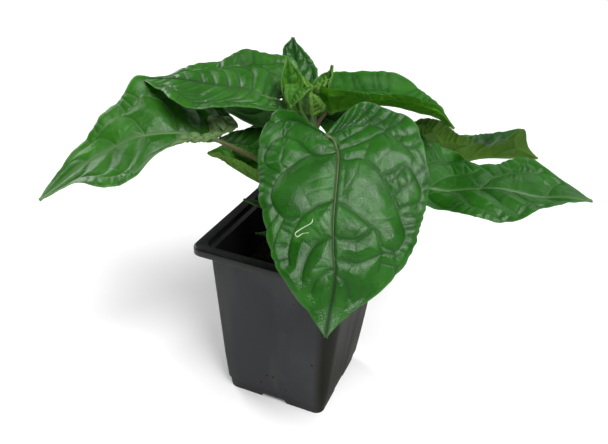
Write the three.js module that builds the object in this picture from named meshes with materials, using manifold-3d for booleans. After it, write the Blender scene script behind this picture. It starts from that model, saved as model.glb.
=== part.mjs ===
// A young chilli pepper plant in a square nursery pot, 195 mm tall and 270 mm from tip to tip.
// Millimetres, +Z up. The pot's sides lie along X and Y, and the origin is the middle of its foot.
import * as THREE from "three";
import { mergeVertices } from "three/addons/utils/BufferGeometryUtils.js";
import Module from "manifold-3d";

const wasm = await Module();
wasm.setup();

// Driving dimensions of the pot
const POT_HEIGHT = 99.4;
const RIM_SIDE = 90;
const FOOT_SIDE = 59;
const SHOULDER_SIDE = 76; // outside of the body, just under the rim
const SHOULDER_Z = 95;
const BULGE = 0.85; // below 1 the walls swell a little on their way up
const WALL = 1.2;
const FLOOR = 1.4;
const BODY_CORNER = 5;
const RIM_CORNER = 6;
const FOOT_STEP_Z = 7; // a fine step round the body, above the foot
const FOOT_STEP = 0.6;
const STEP_BEVEL = 0.4;
const RIM_TOP_WIDTH = 5.5;
const SKIRT_HEIGHT = 4.2; // the lip that hangs from the rim's outer edge
const RIM_EDGE = 0.7; // bevel along the rim's upper edge
const DRAIN_WIDTH = 16; // a notch under the middle of each side, wider at the ground
const DRAIN_SLOPE = 1.6;
const DRAIN_HEIGHT = 2.3;
const DRAIN_DEPTH = 14;
const DRAIN_HOLE = 2.4;
const PAST = 1; // how far a cut runs past the face that it opens
const SEAM = 0.6; // how far one piece of the pot reaches into the next

// Driving dimensions of the soil and the plant
const GAP = 0.3; // between pieces that touch
const SOIL_Z = 70;
const SOIL_BUMPS = 1.4; // height of the mounds in the soil's surface
const SOIL_SWELL_LENGTH = 30;
const SOIL_LUMP_LENGTH = 13;
const SOIL_EDGE = 2; // the surface drops this far to the pot's walls
const SOIL_RINGS = [0.92, 0.78, 0.62, 0.46, 0.3, 0.15]; // sizes of the surface's rings
const SOIL_CORNER_STEPS = 4;
const STEM_FOOT_Z = 45;
const STEM_TOP_Z = 170;
const BLADE = 0.8;
const RIB = 1.3; // how far the midrib stands out under the blade at its base
const PLANT_TURN = 20.65; // degrees that the plant is turned in its pot

const POT_PLASTIC = new THREE.MeshStandardMaterial({ color: 0x3b3d3f, roughness: 0.55 });
const PEAT = new THREE.MeshStandardMaterial({ color: 0x1d1712, roughness: 1 });
const GREEN_STEM = new THREE.MeshStandardMaterial({ color: 0x5a7a2e, roughness: 0.6 });
const LEAF = new THREE.MeshStandardMaterial({ color: 0x2a6a22, roughness: 0.4 });
const YOUNG_LEAF = new THREE.MeshStandardMaterial({ color: 0x6fa63a, roughness: 0.45 });

const vector = ([x, y, z]) => new THREE.Vector3(x, y, z);
const route = (points) =>
  new THREE.CatmullRomCurve3(points.map(vector), false, "catmullrom", 0.5);
// A value that changes smoothly along a leaf, from a short list that is spread evenly over it.
function along(values) {
  const curve = route(values.map((value) => [value, 0, 0]));
  return (s) => curve.getPoint(s).x;
}

// A closed geometry whose index lists triangles by the numbers of their points.
function geometryOf(points, triangles) {
  return new THREE.BufferGeometry().setFromPoints(points).setIndex(triangles.flat());
}

// Rings of equal count skinned from the first to the last, with a fan over each end.
function loft(rings) {
  const count = rings[0].length;
  const points = rings.flat();
  const triangles = [];
  for (let r = 0; r + 1 < rings.length; r++) {
    for (let i = 0; i < count; i++) {
      const a = r * count + i;
      const b = r * count + ((i + 1) % count);
      triangles.push([a, b, b + count], [a, b + count, a + count]);
    }
  }
  for (const [ring, flip] of [[0, true], [rings.length - 1, false]]) {
    const middle = rings[ring]
      .reduce((sum, p) => sum.add(p), new THREE.Vector3())
      .divideScalar(count);
    points.push(middle);
    for (let i = 0; i < count; i++) {
      const a = ring * count + i;
      const b = ring * count + ((i + 1) % count);
      triangles.push(flip ? [points.length - 1, b, a] : [points.length - 1, a, b]);
    }
  }
  return geometryOf(points, triangles);
}

function solidOf(geometry) {
  const bare = new THREE.BufferGeometry();
  bare.setAttribute("position", geometry.getAttribute("position"));
  bare.setIndex(geometry.index);
  const merged = mergeVertices(bare, 1e-4);
  return new wasm.Manifold(
    new wasm.Mesh({
      numProp: 3,
      vertProperties: merged.attributes.position.array,
      triVerts: new Uint32Array(merged.index.array),
    }),
  );
}

function meshOf(name, solid, material) {
  const { vertProperties, triVerts } = solid.getMesh();
  const geometry = new THREE.BufferGeometry();
  geometry.setAttribute("position", new THREE.BufferAttribute(vertProperties, 3));
  geometry.setIndex(new THREE.BufferAttribute(triVerts, 1));
  geometry.computeVertexNormals();
  const mesh = new THREE.Mesh(geometry, material);
  mesh.name = name;
  return mesh;
}

// A square with round corners, level at height z, counter-clockwise from above.
function roundedSquare(side, corner, z, steps = 6) {
  const ring = [];
  const middle = side / 2 - corner;
  for (let quarter = 0; quarter < 4; quarter++) {
    for (let i = 0; i <= steps; i++) {
      const angle = (quarter + i / steps) * (Math.PI / 2);
      const cx = middle * Math.sign(Math.cos((quarter + 0.5) * (Math.PI / 2)));
      const cy = middle * Math.sign(Math.sin((quarter + 0.5) * (Math.PI / 2)));
      ring.push(
        new THREE.Vector3(cx + corner * Math.cos(angle), cy + corner * Math.sin(angle), z),
      );
    }
  }
  return ring;
}

const bodySide = (z) =>
  FOOT_SIDE + (SHOULDER_SIDE - FOOT_SIDE) * (z / SHOULDER_Z) ** BULGE;
// Heights at which the body's section is given, close together at the step above the foot.
const BODY_Z = [12, 24, 36, 48, 60, 72, 84];

function potShell() {
  const foot = [0, FOOT_STEP_Z - STEP_BEVEL].map((z) =>
    roundedSquare(bodySide(z) - FOOT_STEP, BODY_CORNER, z),
  );
  const body = [FOOT_STEP_Z + STEP_BEVEL, ...BODY_Z, SHOULDER_Z + SEAM].map((z) =>
    roundedSquare(bodySide(z) + FOOT_STEP, BODY_CORNER, z),
  );
  const skirtZ = POT_HEIGHT - SKIRT_HEIGHT;
  const mouth = RIM_SIDE - 2 * RIM_TOP_WIDTH;
  const rim = loft([
    roundedSquare(RIM_SIDE, RIM_CORNER, skirtZ),
    roundedSquare(RIM_SIDE, RIM_CORNER, POT_HEIGHT - RIM_EDGE),
    roundedSquare(RIM_SIDE - 2 * RIM_EDGE, RIM_CORNER - RIM_EDGE, POT_HEIGHT),
  ]);
  const underRim = loft([
    roundedSquare(RIM_SIDE - 2 * WALL, RIM_CORNER - WALL, skirtZ - PAST),
    roundedSquare(RIM_SIDE - 2 * WALL, RIM_CORNER - WALL, POT_HEIGHT - WALL),
  ]);
  const collar = loft([
    roundedSquare(mouth + 2 * WALL, BODY_CORNER + WALL, SHOULDER_Z - WALL),
    roundedSquare(mouth + 2 * WALL, BODY_CORNER + WALL, POT_HEIGHT - RIM_EDGE),
  ]);
  const inside = [FLOOR, ...BODY_Z, SHOULDER_Z].map((z) =>
    roundedSquare(bodySide(z) - 2 * WALL, BODY_CORNER - WALL, z),
  );
  const opening = [SHOULDER_Z, POT_HEIGHT + PAST].map((z) =>
    roundedSquare(mouth, BODY_CORNER, z),
  );
  return solidOf(rim)
    .subtract(solidOf(underRim))
    .add(solidOf(collar))
    .add(solidOf(loft([...foot, ...body])))
    .subtract(solidOf(loft(inside)))
    .subtract(solidOf(loft(opening)));
}

// A drain channel's section, drawn across the wall and pushed in from the foot's edge.
function drainChannel(grow) {
  const low = DRAIN_WIDTH / 2 + grow;
  const high = low - DRAIN_SLOPE;
  const top = DRAIN_HEIGHT + grow;
  const section = new THREE.Shape([
    new THREE.Vector2(-low, -grow - PAST),
    new THREE.Vector2(low, -grow - PAST),
    new THREE.Vector2(low, 0),
    new THREE.Vector2(high, top),
    new THREE.Vector2(-high, top),
    new THREE.Vector2(-low, 0),
  ]);
  const channel = new THREE.ExtrudeGeometry(section, {
    depth: DRAIN_DEPTH + PAST + grow,
    bevelEnabled: false,
  });
  channel.rotateX(Math.PI / 2);
  channel.translate(0, FOOT_SIDE / 2 + PAST, 0);
  return channel;
}

function pot() {
  let shell = potShell();
  const withinWalls = solidOf(
    loft([FLOOR / 2, ...BODY_Z].map((z) => roundedSquare(bodySide(z) - WALL, BODY_CORNER, z))),
  );
  for (let side = 0; side < 4; side++) {
    const turn = (side * Math.PI) / 2;
    const roof = solidOf(drainChannel(WALL).rotateZ(turn)).intersect(withinWalls);
    shell = shell.add(roof);
  }
  for (let side = 0; side < 4; side++) {
    const turn = (side * Math.PI) / 2;
    const hole = new THREE.CylinderGeometry(DRAIN_HOLE, DRAIN_HOLE, 4 * WALL, 20)
      .rotateX(Math.PI / 2)
      .translate(0, FOOT_SIDE / 2 - DRAIN_DEPTH / 2, DRAIN_HEIGHT + WALL / 2)
      .rotateZ(turn);
    shell = shell.subtract(solidOf(drainChannel(0).rotateZ(turn))).subtract(solidOf(hole));
  }
  return shell;
}

// The stem, from deep in the soil up to the shoot tip. It thickens a little where each leaf stands.
const STEM = route([
  [0, 0, STEM_FOOT_Z],
  [0, 0, 76],
  [-0.6, 0.3, 107],
  [0.3, -0.2, 138],
  [0.6, 0, STEM_TOP_Z],
]);
const STEM_RADIUS = along([4.1, 3.8, 3.5, 3.2, 2.1]);
const NODE_SWELL = 0.35;
const NODE_LENGTH = 3;
const STEM_STEPS = 40;
const STEM_SIDES = 8;

// A way that no stem or petiole runs, so each ring of a tube can take its start from it.
const AWAY = new THREE.Vector3(0.31, 0.87, 0.12).normalize();

// A tube along a route, with each ring square to it.
function tube(curve, radius, steps, sides) {
  const rings = [];
  for (let i = 0; i <= steps; i++) {
    const t = i / steps;
    const centre = curve.getPoint(t);
    const ahead = curve.getTangent(t);
    const across = new THREE.Vector3().crossVectors(AWAY, ahead).normalize();
    const up = new THREE.Vector3().crossVectors(ahead, across);
    rings.push(
      Array.from({ length: sides }, (_, k) => {
        const angle = (k * 2 * Math.PI) / sides;
        const size = radius(t, centre);
        return centre
          .clone()
          .addScaledVector(across, size * Math.cos(angle))
          .addScaledVector(up, size * Math.sin(angle));
      }),
    );
  }
  return loft(rings);
}

// Leaves, in the plant's own frame before it is turned: -Y faces forward. Each has its petiole's
// route from the stem's middle, its midrib's route, and the way it points, in degrees from +X.
// Each half, left and right as seen along that way, has lists that run from the base to the tip:
// reach from the midrib in mm, sweep of the side veins back from square, rise of the half above
// level, and how much the half curls up on its way to the margin, in degrees.
// A wave is the margin's height in mm, its number of waves and its phase in turns.
const LEAVES = {
  leaf_front: {
    petiole: [[0, 0, 143], [5, -14, 158], [8, -28, 167]],
    blade: [[8, -28, 167], [14, -45, 156], [15, -64, 140], [17, -79, 121], [14, -90, 98]],
    heading: -82,
    left: {
      reach: [14, 34, 46, 44, 38, 30, 17, 0],
      sweep: [45, 40, 24, 10, 0, -8, -15, -20],
      rise: [5, 5, 0, 0, 0],
      curl: [0, -5, -10, -15, -5],
      wave: [1.1, 3.3, 0.1],
    },
    right: {
      reach: [14, 33, 39, 38, 35, 29, 14, 0],
      sweep: [55, 48, 24, 8, 0, -8, -15, -20],
      rise: [0, 0, 0, 0, 0],
      curl: [-10, -15, -15, -10, 0],
      wave: [1, 3.7, 0.4],
    },
  },
  leaf_left_low: {
    petiole: [[-0.3, 0, 126], [-24, -7, 142], [-42, -11, 152], [-47, -12, 154]],
    blade: [[-47, -12, 154], [-66, -15, 158], [-88, -21, 155], [-106, -29, 145], [-126, -42, 130]],
    heading: 200,
    left: {
      reach: [5, 7, 10, 18, 26, 24, 11, 0],
      sweep: [40, 30, 10, -15, -15, -10, -15, -20],
      rise: [60, 0, -25, -20, -10],
      curl: [40, -10, 0, 0, 0],
      wave: [1.2, 3.6, 0.2],
    },
    right: {
      reach: [16, 27, 36, 32, 21, 13, 7, 0],
      sweep: [50, 10, -25, -30, -25, -25, -25, -25],
      rise: [20, 30, 30, 30, 20],
      curl: [0, 0, 0, 0, 0],
      wave: [1, 4.3, 0.6],
    },
  },
  leaf_left_top: {
    petiole: [[0.4, 0, 157], [-9, -2, 168], [-18, -3, 174]],
    blade: [[-18, -3, 174], [-35, -2, 178], [-53, 1, 179], [-71, 5, 179], [-86, 8, 178]],
    heading: 170,
    left: {
      reach: [5, 10, 16, 21, 22, 16, 8, 0],
      sweep: [60, 40, 20, 5, 0, -5, -10, -10],
      rise: [0, -10, -10, -10, 0],
      curl: [-10, -10, -10, -10, -10],
      wave: [1, 4.2, 0.3],
    },
    right: {
      reach: [8, 27, 38, 29, 22, 15, 8, 0],
      sweep: [60, 36, 20, 5, 0, -5, -10, -10],
      rise: [20, 20, 20, 15, 0],
      curl: [0, 0, 0, 0, 0],
      wave: [1.1, 4.4, 0.1],
    },
  },
  leaf_top_young: {
    young: true,
    petiole: [[0.6, 0, 164], [-3, 8, 166], [-6, 15, 168]],
    blade: [[-6, 15, 168], [-8, 26, 176], [-10, 34, 184], [-12, 40, 194]],
    heading: 105,
    left: {
      reach: [3, 8, 11, 11, 9, 7, 5, 0],
      sweep: [50, 30, 10, 0, 0, -10, -10, -10],
      rise: [20, 20],
      curl: [10, 10],
      wave: [0.5, 3.3, 0.2],
    },
    right: {
      reach: [3, 9, 13, 13, 11, 8, 4, 0],
      sweep: [50, 30, 10, 0, 0, -10, -10, -10],
      rise: [10, 10],
      curl: [0, 0],
      wave: [0.5, 3.6, 0.5],
    },
  },
  leaf_right_top: {
    petiole: [[0.5, 0, 154], [4, 3, 161], [8, 6, 166]],
    blade: [[8, 6, 166], [20, 9, 171], [34, 11, 173], [52, 10, 172], [66, 8, 169], [74, 5, 162]],
    heading: 2,
    left: {
      reach: [5, 26, 38, 40, 37, 28, 13, 0],
      sweep: [50, 30, 15, 5, 0, -5, -10, -10],
      rise: [-20, -20, -25, -30, -30],
      curl: [50, 50, 60, 50, 20],
      wave: [0.9, 3.4, 0.3],
    },
    right: {
      reach: [4, 15, 19, 18, 17, 11, 4, 0],
      sweep: [20, 20, 15, 0, 0, -5, -10, -10],
      rise: [40, 38, 38, 38, 30],
      curl: [0, -10, 0, 0, 0],
      wave: [0.9, 4.1, 0],
    },
  },
  leaf_right_back: {
    petiole: [[0.3, 0, 137], [18, 15, 138], [41, 32, 134]],
    blade: [[41, 32, 134], [63, 42, 130], [86, 48, 127], [111, 53, 129], [137, 55, 128]],
    heading: 12,
    left: {
      reach: [6, 18, 24, 28, 26, 22, 12, 0],
      sweep: [50, 30, 15, 0, 0, -5, -5, -5],
      rise: [10, 10, 10, 10, 10],
      curl: [0, 0, 0, 0, 0],
      wave: [1.1, 3.8, 0.5],
    },
    right: {
      reach: [6, 23, 31, 28, 18, 18, 22, 0],
      sweep: [50, 30, 15, 0, 0, -5, -5, -5],
      rise: [60, 60, 60, 60, 60],
      curl: [0, 0, 0, 0, 0],
      wave: [1, 4.4, 0.2],
    },
  },
  leaf_right_low: {
    petiole: [[0, 0, 131], [20, -4, 138], [40, -7, 137]],
    blade: [[40, -7, 137], [64, -11, 136], [90, -16, 139], [114, -21, 141], [140, -26, 141]],
    heading: -12,
    left: {
      reach: [14, 34, 39, 36, 29, 29, 14, 0],
      sweep: [50, 20, 0, -5, -12, -15, -12, -10],
      rise: [22, 24, 19, 9, -2, 4, 4, 0],
      curl: [0, 0, 0, 0, 0],
      wave: [1, 3.5, 0.4],
    },
    right: {
      reach: [8, 9, 13, 23, 29, 22, 9, 0],
      sweep: [50, 30, 15, 0, -5, -10, -10, -10],
      rise: [0, 0, 0, 0, 0],
      curl: [-20, -20, -20, -20, -20],
      wave: [1.1, 4.2, 0.1],
    },
  },
  leaf_left_small: {
    petiole: [[-0.5, 0, 109], [-8, -1, 119], [-14, -2, 125]],
    blade: [[-14, -2, 125], [-27, -3, 131], [-42, -2, 137], [-55, -1, 143]],
    heading: 180,
    left: {
      reach: [3, 8, 10, 9, 7, 5, 4, 0],
      sweep: [40, 20, 0, 0, 0, 0, 0, 0],
      rise: [50, 50],
      curl: [0, 0],
      wave: [0.5, 3.2, 0.2],
    },
    right: {
      reach: [3, 6, 9, 9, 8, 6, 3, 0],
      sweep: [40, 20, 0, 0, 0, 0, 0, 0],
      rise: [10, 10],
      curl: [0, 0],
      wave: [0.5, 2.7, 0.5],
    },
  },
  leaf_left_inner: {
    petiole: [[0.2, 0, 140], [-7, 5, 146], [-14, 9, 150]],
    blade: [[-14, 9, 150], [-26, 12, 152], [-38, 14, 149], [-50, 15, 143]],
    heading: 165,
    left: {
      reach: [3, 10, 15, 16, 14, 10, 5, 0],
      sweep: [40, 20, 0, 0, 0, 0, 0, 0],
      rise: [-20, -20],
      curl: [-20, -20],
      wave: [0.6, 3.2, 0.3],
    },
    right: {
      reach: [3, 7, 9, 9, 8, 6, 3, 0],
      sweep: [40, 20, 0, 0, 0, 0, 0, 0],
      rise: [-10, -10],
      curl: [0, 0],
      wave: [0.6, 3.7, 0.1],
    },
  },
  leaf_back_left: {
    petiole: [[0.4, 0, 148], [-8, 10, 154], [-17, 19, 157]],
    blade: [[-17, 19, 157], [-33, 35, 160], [-49, 51, 157], [-63, 66, 150], [-74, 79, 140]],
    heading: 135,
    left: {
      reach: [8, 16, 22, 24, 22, 16, 8, 0],
      sweep: [50, 25, 10, 0, -5, -10, -10, -10],
      rise: [-10, -5, 0, -5, -10],
      curl: [0, 0, 0, 0, 0],
      wave: [1, 3.8, 0.2],
    },
    right: {
      reach: [6, 16, 24, 26, 24, 17, 8, 0],
      sweep: [50, 25, 10, 0, -5, -10, -10, -10],
      rise: [-15, -25, -20, -10, -10],
      curl: [0, 0, 0, 0, 0],
      wave: [1, 4.1, 0.4],
    },
  },
  leaf_back: {
    petiole: [[0.5, 0, 151], [3, 8, 154], [5, 16, 156]],
    blade: [[5, 16, 156], [9, 34, 160], [13, 52, 160], [16, 70, 155], [18, 88, 144]],
    heading: 84,
    left: {
      reach: [6, 17, 24, 26, 23, 16, 8, 0],
      sweep: [50, 30, 15, 0, -5, -10, -10, -10],
      rise: [5, 5, 5, -5, -10],
      curl: [0, 0, 0, 0, 0],
      wave: [1, 4, 0.3],
    },
    right: {
      reach: [10, 20, 26, 28, 24, 17, 8, 0],
      sweep: [50, 30, 15, 0, -5, -10, -10, -10],
      rise: [-10, -10, -5, -10, -10],
      curl: [0, 0, 0, 0, 0],
      wave: [1, 3.6, 0.1],
    },
  },
  leaf_tip_left: {
    young: true,
    petiole: [[0.6, 0, 165], [-3, -1, 166], [-6, -2, 168]],
    blade: [[-6, -2, 168], [-10, -3, 178], [-12, -2, 187], [-13, 0, 195]],
    heading: 125,
    left: {
      reach: [1, 3, 4, 5, 5, 4, 2, 0],
      sweep: [20, 0, 0, 0, 0, 0, 0, 0],
      rise: [25, 25],
      curl: [0, 0],
      wave: [0.3, 2.5, 0.2],
    },
    right: {
      reach: [1, 3, 5, 6, 7, 6, 3, 0],
      sweep: [20, 0, 0, 0, 0, 0, 0, 0],
      rise: [25, 25],
      curl: [0, 0],
      wave: [0.3, 2.2, 0.5],
    },
  },
  leaf_tip_heart: {
    young: true,
    petiole: [[0.6, 0, 160], [-5, -5, 171], [-6, -8, 181]],
    blade: [[-6, -8, 181], [-8, -12, 180], [-10, -15, 174]],
    heading: -120,
    left: {
      reach: [3, 7, 8, 8, 7, 5, 3, 0],
      sweep: [40, 20, 0, 0, 0, 0, 0, 0],
      rise: [20, 20],
      curl: [0, 0],
      wave: [0.3, 2.5, 0.1],
    },
    right: {
      reach: [3, 6, 7, 7, 6, 5, 3, 0],
      sweep: [40, 20, 0, 0, 0, 0, 0, 0],
      rise: [20, 20],
      curl: [0, 0],
      wave: [0.3, 2.3, 0.4],
    },
  },
  leaf_tip_front: {
    young: true,
    petiole: [[0.6, 0, 162], [1, -3, 165], [1, -4, 168]],
    blade: [[1, -4, 168], [0, -7, 174], [-1, -9, 181]],
    heading: -95,
    left: {
      reach: [2, 5, 7, 7, 6, 5, 3, 0],
      sweep: [20, 0, 0, 0, 0, 0, 0, 0],
      rise: [20, 20],
      curl: [0, 0],
      wave: [0.3, 2.5, 0.3],
    },
    right: {
      reach: [2, 3, 3, 3, 3, 2, 1, 0],
      sweep: [20, 0, 0, 0, 0, 0, 0, 0],
      rise: [20, 20],
      curl: [0, 0],
      wave: [0.3, 2.1, 0.2],
    },
  },
  leaf_tip_right: {
    young: true,
    petiole: [[0.6, 0, 161], [3, 2, 168], [4, 4, 175]],
    blade: [[4, 4, 175], [6, 6, 180], [8, 8, 184], [9, 10, 189]],
    heading: 45,
    left: {
      reach: [2, 5, 6, 6, 5, 4, 1, 0],
      sweep: [20, 0, 0, 0, 0, 0, 0, 0],
      rise: [30, 30],
      curl: [0, 0],
      wave: [0.3, 2.5, 0.3],
    },
    right: {
      reach: [2, 5, 6, 6, 5, 3, 1, 0],
      sweep: [20, 0, 0, 0, 0, 0, 0, 0],
      rise: [30, 30],
      curl: [0, 0],
      wave: [0.3, 2.2, 0.1],
    },
  },
  leaf_low_upper: {
    young: true,
    petiole: [[-0.6, 0, 92], [-9, 1, 100], [-14, 1, 106]],
    blade: [[-14, 1, 106], [-21, 1, 111], [-28, 0, 114], [-33, 0, 116]],
    heading: 182,
    left: {
      reach: [1, 3, 4, 4, 3, 3, 1, 0],
      sweep: [20, 0, 0, 0, 0, 0, 0, 0],
      rise: [10, 10],
      curl: [0, 0],
      wave: [0.3, 2.5, 0.3],
    },
    right: {
      reach: [1, 3, 4, 4, 3, 3, 1, 0],
      sweep: [20, 0, 0, 0, 0, 0, 0, 0],
      rise: [10, 10],
      curl: [0, 0],
      wave: [0.3, 2.2, 0.1],
    },
  },
  leaf_low_lower: {
    young: true,
    petiole: [[-0.2, 0, 83], [-8, -3, 91], [-12, -5, 95]],
    blade: [[-12, -5, 95], [-17, -7, 98], [-22, -9, 100], [-25, -10, 101]],
    heading: 200,
    left: {
      reach: [1, 3, 3, 3, 3, 2, 1, 0],
      sweep: [20, 0, 0, 0, 0, 0, 0, 0],
      rise: [10, 10],
      curl: [0, 0],
      wave: [0.2, 2.5, 0.3],
    },
    right: {
      reach: [1, 3, 3, 3, 3, 2, 1, 0],
      sweep: [20, 0, 0, 0, 0, 0, 0, 0],
      rise: [10, 10],
      curl: [0, 0],
      wave: [0.2, 2.2, 0.1],
    },
  },
};

// Tiny leaves of the bud, set round the stem's top, with their lean in degrees from upright.
const BUD_LEAVES = [
  { heading: -60, lean: 12, length: 11, halfWidth: 3.2 },
  { heading: 60, lean: 20, length: 10, halfWidth: 3 },
  { heading: 180, lean: 16, length: 12, halfWidth: 3.2 },
];
const BUD_CORE_RADIUS = [1.9, 1.5, 0.7]; // from its foot to its top
const BUD_LEAN = 0.04;
const BUD_LEAF_FOOT = 2.5;

const BIG_LEAF_LENGTH = 60; // a midrib longer than this is a big leaf's
// The mesh of a blade from base to tip and from midrib to margin, and its petiole's size and mesh.
const BIG_LEAF = { rows: 13, columns: 4, rib: RIB, stalk: 1.9, stalkSteps: 8, stalkSides: 8 };
const SMALL_LEAF = { rows: 8, columns: 2, rib: RIB / 2, stalk: 1.1, stalkSteps: 5, stalkSides: 6 };
const STALK_TAPER = 0.55; // share of its radius that a petiole loses on the way to the blade
const STATION_POWER = 1.3; // side veins stand closer together near the leaf's base
const COLUMN_POWER = 1.5; // and columns of the mesh near the midrib
const WAVE_POWER = 1.6; // the waves grow toward the margin
const WAVE_ENDS = 5; // and fade over the first and the last fifth of the leaf
const TIP_HALF_WIDTH = 0.5;
const FLAT = 1e-4; // a curl in radians that stands for none

const radians = THREE.MathUtils.degToRad;

// The point of a leaf at s from base to tip, and x from -1 on the left margin to 1 on the right.
function bladeSurface(leaf) {
  const midrib = route(leaf.blade);
  const heading = radians(leaf.heading);
  const level = new THREE.Vector3(Math.sin(heading), -Math.cos(heading), 0);
  const half = (side) => ({
    reach: along(side.reach),
    sweep: along(side.sweep),
    rise: along(side.rise),
    curl: along(side.curl),
    wave: side.wave,
  });
  const halves = { left: half(leaf.left), right: half(leaf.right) };
  return (s, x) => {
    const side = x < 0 ? halves.left : halves.right;
    const sign = x < 0 ? -1 : 1;
    const out = Math.abs(x);
    const t = s ** STATION_POWER;
    const ahead = midrib.getTangent(t);
    const across = level.clone().addScaledVector(ahead, -level.dot(ahead)).normalize();
    const up = new THREE.Vector3().crossVectors(across, ahead);
    const rise = radians(side.rise(s));
    const curl = radians(side.curl(s)) || FLAT;
    const sweep = radians(side.sweep(s));
    const reach = Math.max(side.reach(s), TIP_HALF_WIDTH);
    const outward = (Math.sin(rise + curl * out) - Math.sin(rise)) / curl;
    const upward = (Math.cos(rise) - Math.cos(rise + curl * out)) / curl;
    const [height, waves, phase] = side.wave;
    const ends = Math.min(1, WAVE_ENDS * s, WAVE_ENDS * (1 - s));
    const swing = Math.sin(2 * Math.PI * (waves * s + phase));
    const ripple = height * out ** WAVE_POWER * swing * ends;
    const lean = rise + curl * out;
    return midrib
      .getPoint(t)
      .addScaledVector(across, reach * sign * outward * Math.cos(sweep))
      .addScaledVector(up, reach * upward)
      .addScaledVector(ahead, -reach * Math.sin(sweep) * outward)
      .addScaledVector(across, -sign * Math.sin(lean) * ripple)
      .addScaledVector(up, Math.cos(lean) * ripple);
  };
}

// A blade of even thickness on both sides of the surface, with the midrib as a ridge beneath.
function blade(surface, rows, columns, thickness, rib) {
  const width = 2 * columns + 1;
  const sheet = [];
  for (let i = 0; i <= rows; i++) {
    for (let j = -columns; j <= columns; j++) {
      const x = Math.sign(j) * (Math.abs(j) / columns) ** COLUMN_POWER;
      sheet.push(surface(i / rows, x));
    }
  }
  const facing = [];
  for (let i = 0; i < rows; i++) {
    for (let j = 0; j + 1 < width; j++) {
      const a = i * width + j;
      const c = a + width;
      if (j < columns) facing.push([a, a + 1, c + 1], [a, c + 1, c]);
      else facing.push([a, a + 1, c], [a + 1, c + 1, c]);
    }
  }
  const thin = geometryOf(sheet, facing);
  thin.computeVertexNormals();
  const normals = thin.getAttribute("normal");
  const count = sheet.length;
  const points = [];
  for (const side of [1, -1]) {
    sheet.forEach((point, k) => {
      const normal = new THREE.Vector3().fromBufferAttribute(normals, k);
      const s = Math.floor(k / width) / rows;
      const ridge = side < 0 && k % width === columns ? rib * (1 - s) : 0;
      points.push(point.clone().addScaledVector(normal, side * (thickness / 2 + ridge)));
    });
  }
  const triangles = [...facing, ...facing.map(([a, b, c]) => [count + a, count + c, count + b])];
  const edge = [];
  for (let j = 0; j < width; j++) edge.push(j);
  for (let i = 1; i <= rows; i++) edge.push(i * width + width - 1);
  for (let j = width - 2; j >= 0; j--) edge.push(rows * width + j);
  for (let i = rows - 1; i > 0; i--) edge.push(i * width);
  edge.forEach((a, k) => {
    const b = edge[(k + 1) % edge.length];
    triangles.push([a, count + a, count + b], [a, count + b, b]);
  });
  return geometryOf(points, triangles);
}

function stem(grow = 0) {
  const starts = Object.values(LEAVES).map((leaf) => leaf.petiole[0][2]);
  const radius = (t, centre) => {
    const swell = starts.reduce(
      (most, z) => Math.max(most, Math.exp(-(((centre.z - z) / NODE_LENGTH) ** 2))),
      0,
    );
    return STEM_RADIUS(t) + NODE_SWELL * swell + grow;
  };
  return tube(STEM, radius, STEM_STEPS, STEM_SIDES);
}

const STEM_CLEARANCE = solidOf(stem(GAP));

// A leaf's petiole starts in the stem's middle and is cut where it meets the stem. A big leaf's
// petiole runs on under the base of the blade.
function leafSolid(leaf) {
  const isBig = route(leaf.blade).getLength() > BIG_LEAF_LENGTH;
  const kind = isBig ? BIG_LEAF : SMALL_LEAF;
  const sheet = blade(bladeSurface(leaf), kind.rows, kind.columns, BLADE, kind.rib);
  const stalk = route(isBig ? [...leaf.petiole, leaf.blade[1]] : leaf.petiole);
  const stalkRadius = (t) => kind.stalk * (1 - STALK_TAPER * t);
  const petiole = tube(stalk, stalkRadius, kind.stalkSteps, kind.stalkSides);
  return solidOf(sheet).add(solidOf(petiole)).subtract(STEM_CLEARANCE);
}

// The soil fills the pot up to SOIL_Z, with low mounds, and has a blind hole for the stem.
function soil() {
  const turn = 2 * Math.PI;
  const bumps = (x, y) => {
    const swell = Math.sin((turn * x) / SOIL_SWELL_LENGTH) * Math.cos((turn * y) / SOIL_SWELL_LENGTH);
    const lumps = Math.sin((turn * (x - y)) / SOIL_LUMP_LENGTH);
    return SOIL_BUMPS * (0.6 * swell + 0.4 * lumps);
  };
  const base = DRAIN_HEIGHT + WALL + GAP;
  const corner = BODY_CORNER - WALL;
  const inner = (z) => bodySide(z) - 2 * (WALL + GAP);
  const sides = [base, ...BODY_Z.filter((z) => z < SOIL_Z - SOIL_EDGE), SOIL_Z - SOIL_EDGE].map(
    (z) => roundedSquare(inner(z), corner, z, SOIL_CORNER_STEPS),
  );
  const top = SOIL_RINGS.map((share) =>
    roundedSquare(inner(SOIL_Z) * share, corner * share, SOIL_Z, SOIL_CORNER_STEPS).map((p) =>
      p.setZ(SOIL_Z + bumps(p.x, p.y)),
    ),
  );
  const holeRadius = STEM_RADIUS(0) + NODE_SWELL + GAP;
  const hole = new THREE.CylinderGeometry(holeRadius, holeRadius, SOIL_Z, 24)
    .rotateX(Math.PI / 2)
    .translate(0, 0, STEM_FOOT_Z - GAP + SOIL_Z / 2);
  return solidOf(loft([...sides, ...top])).subtract(solidOf(hole));
}

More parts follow.
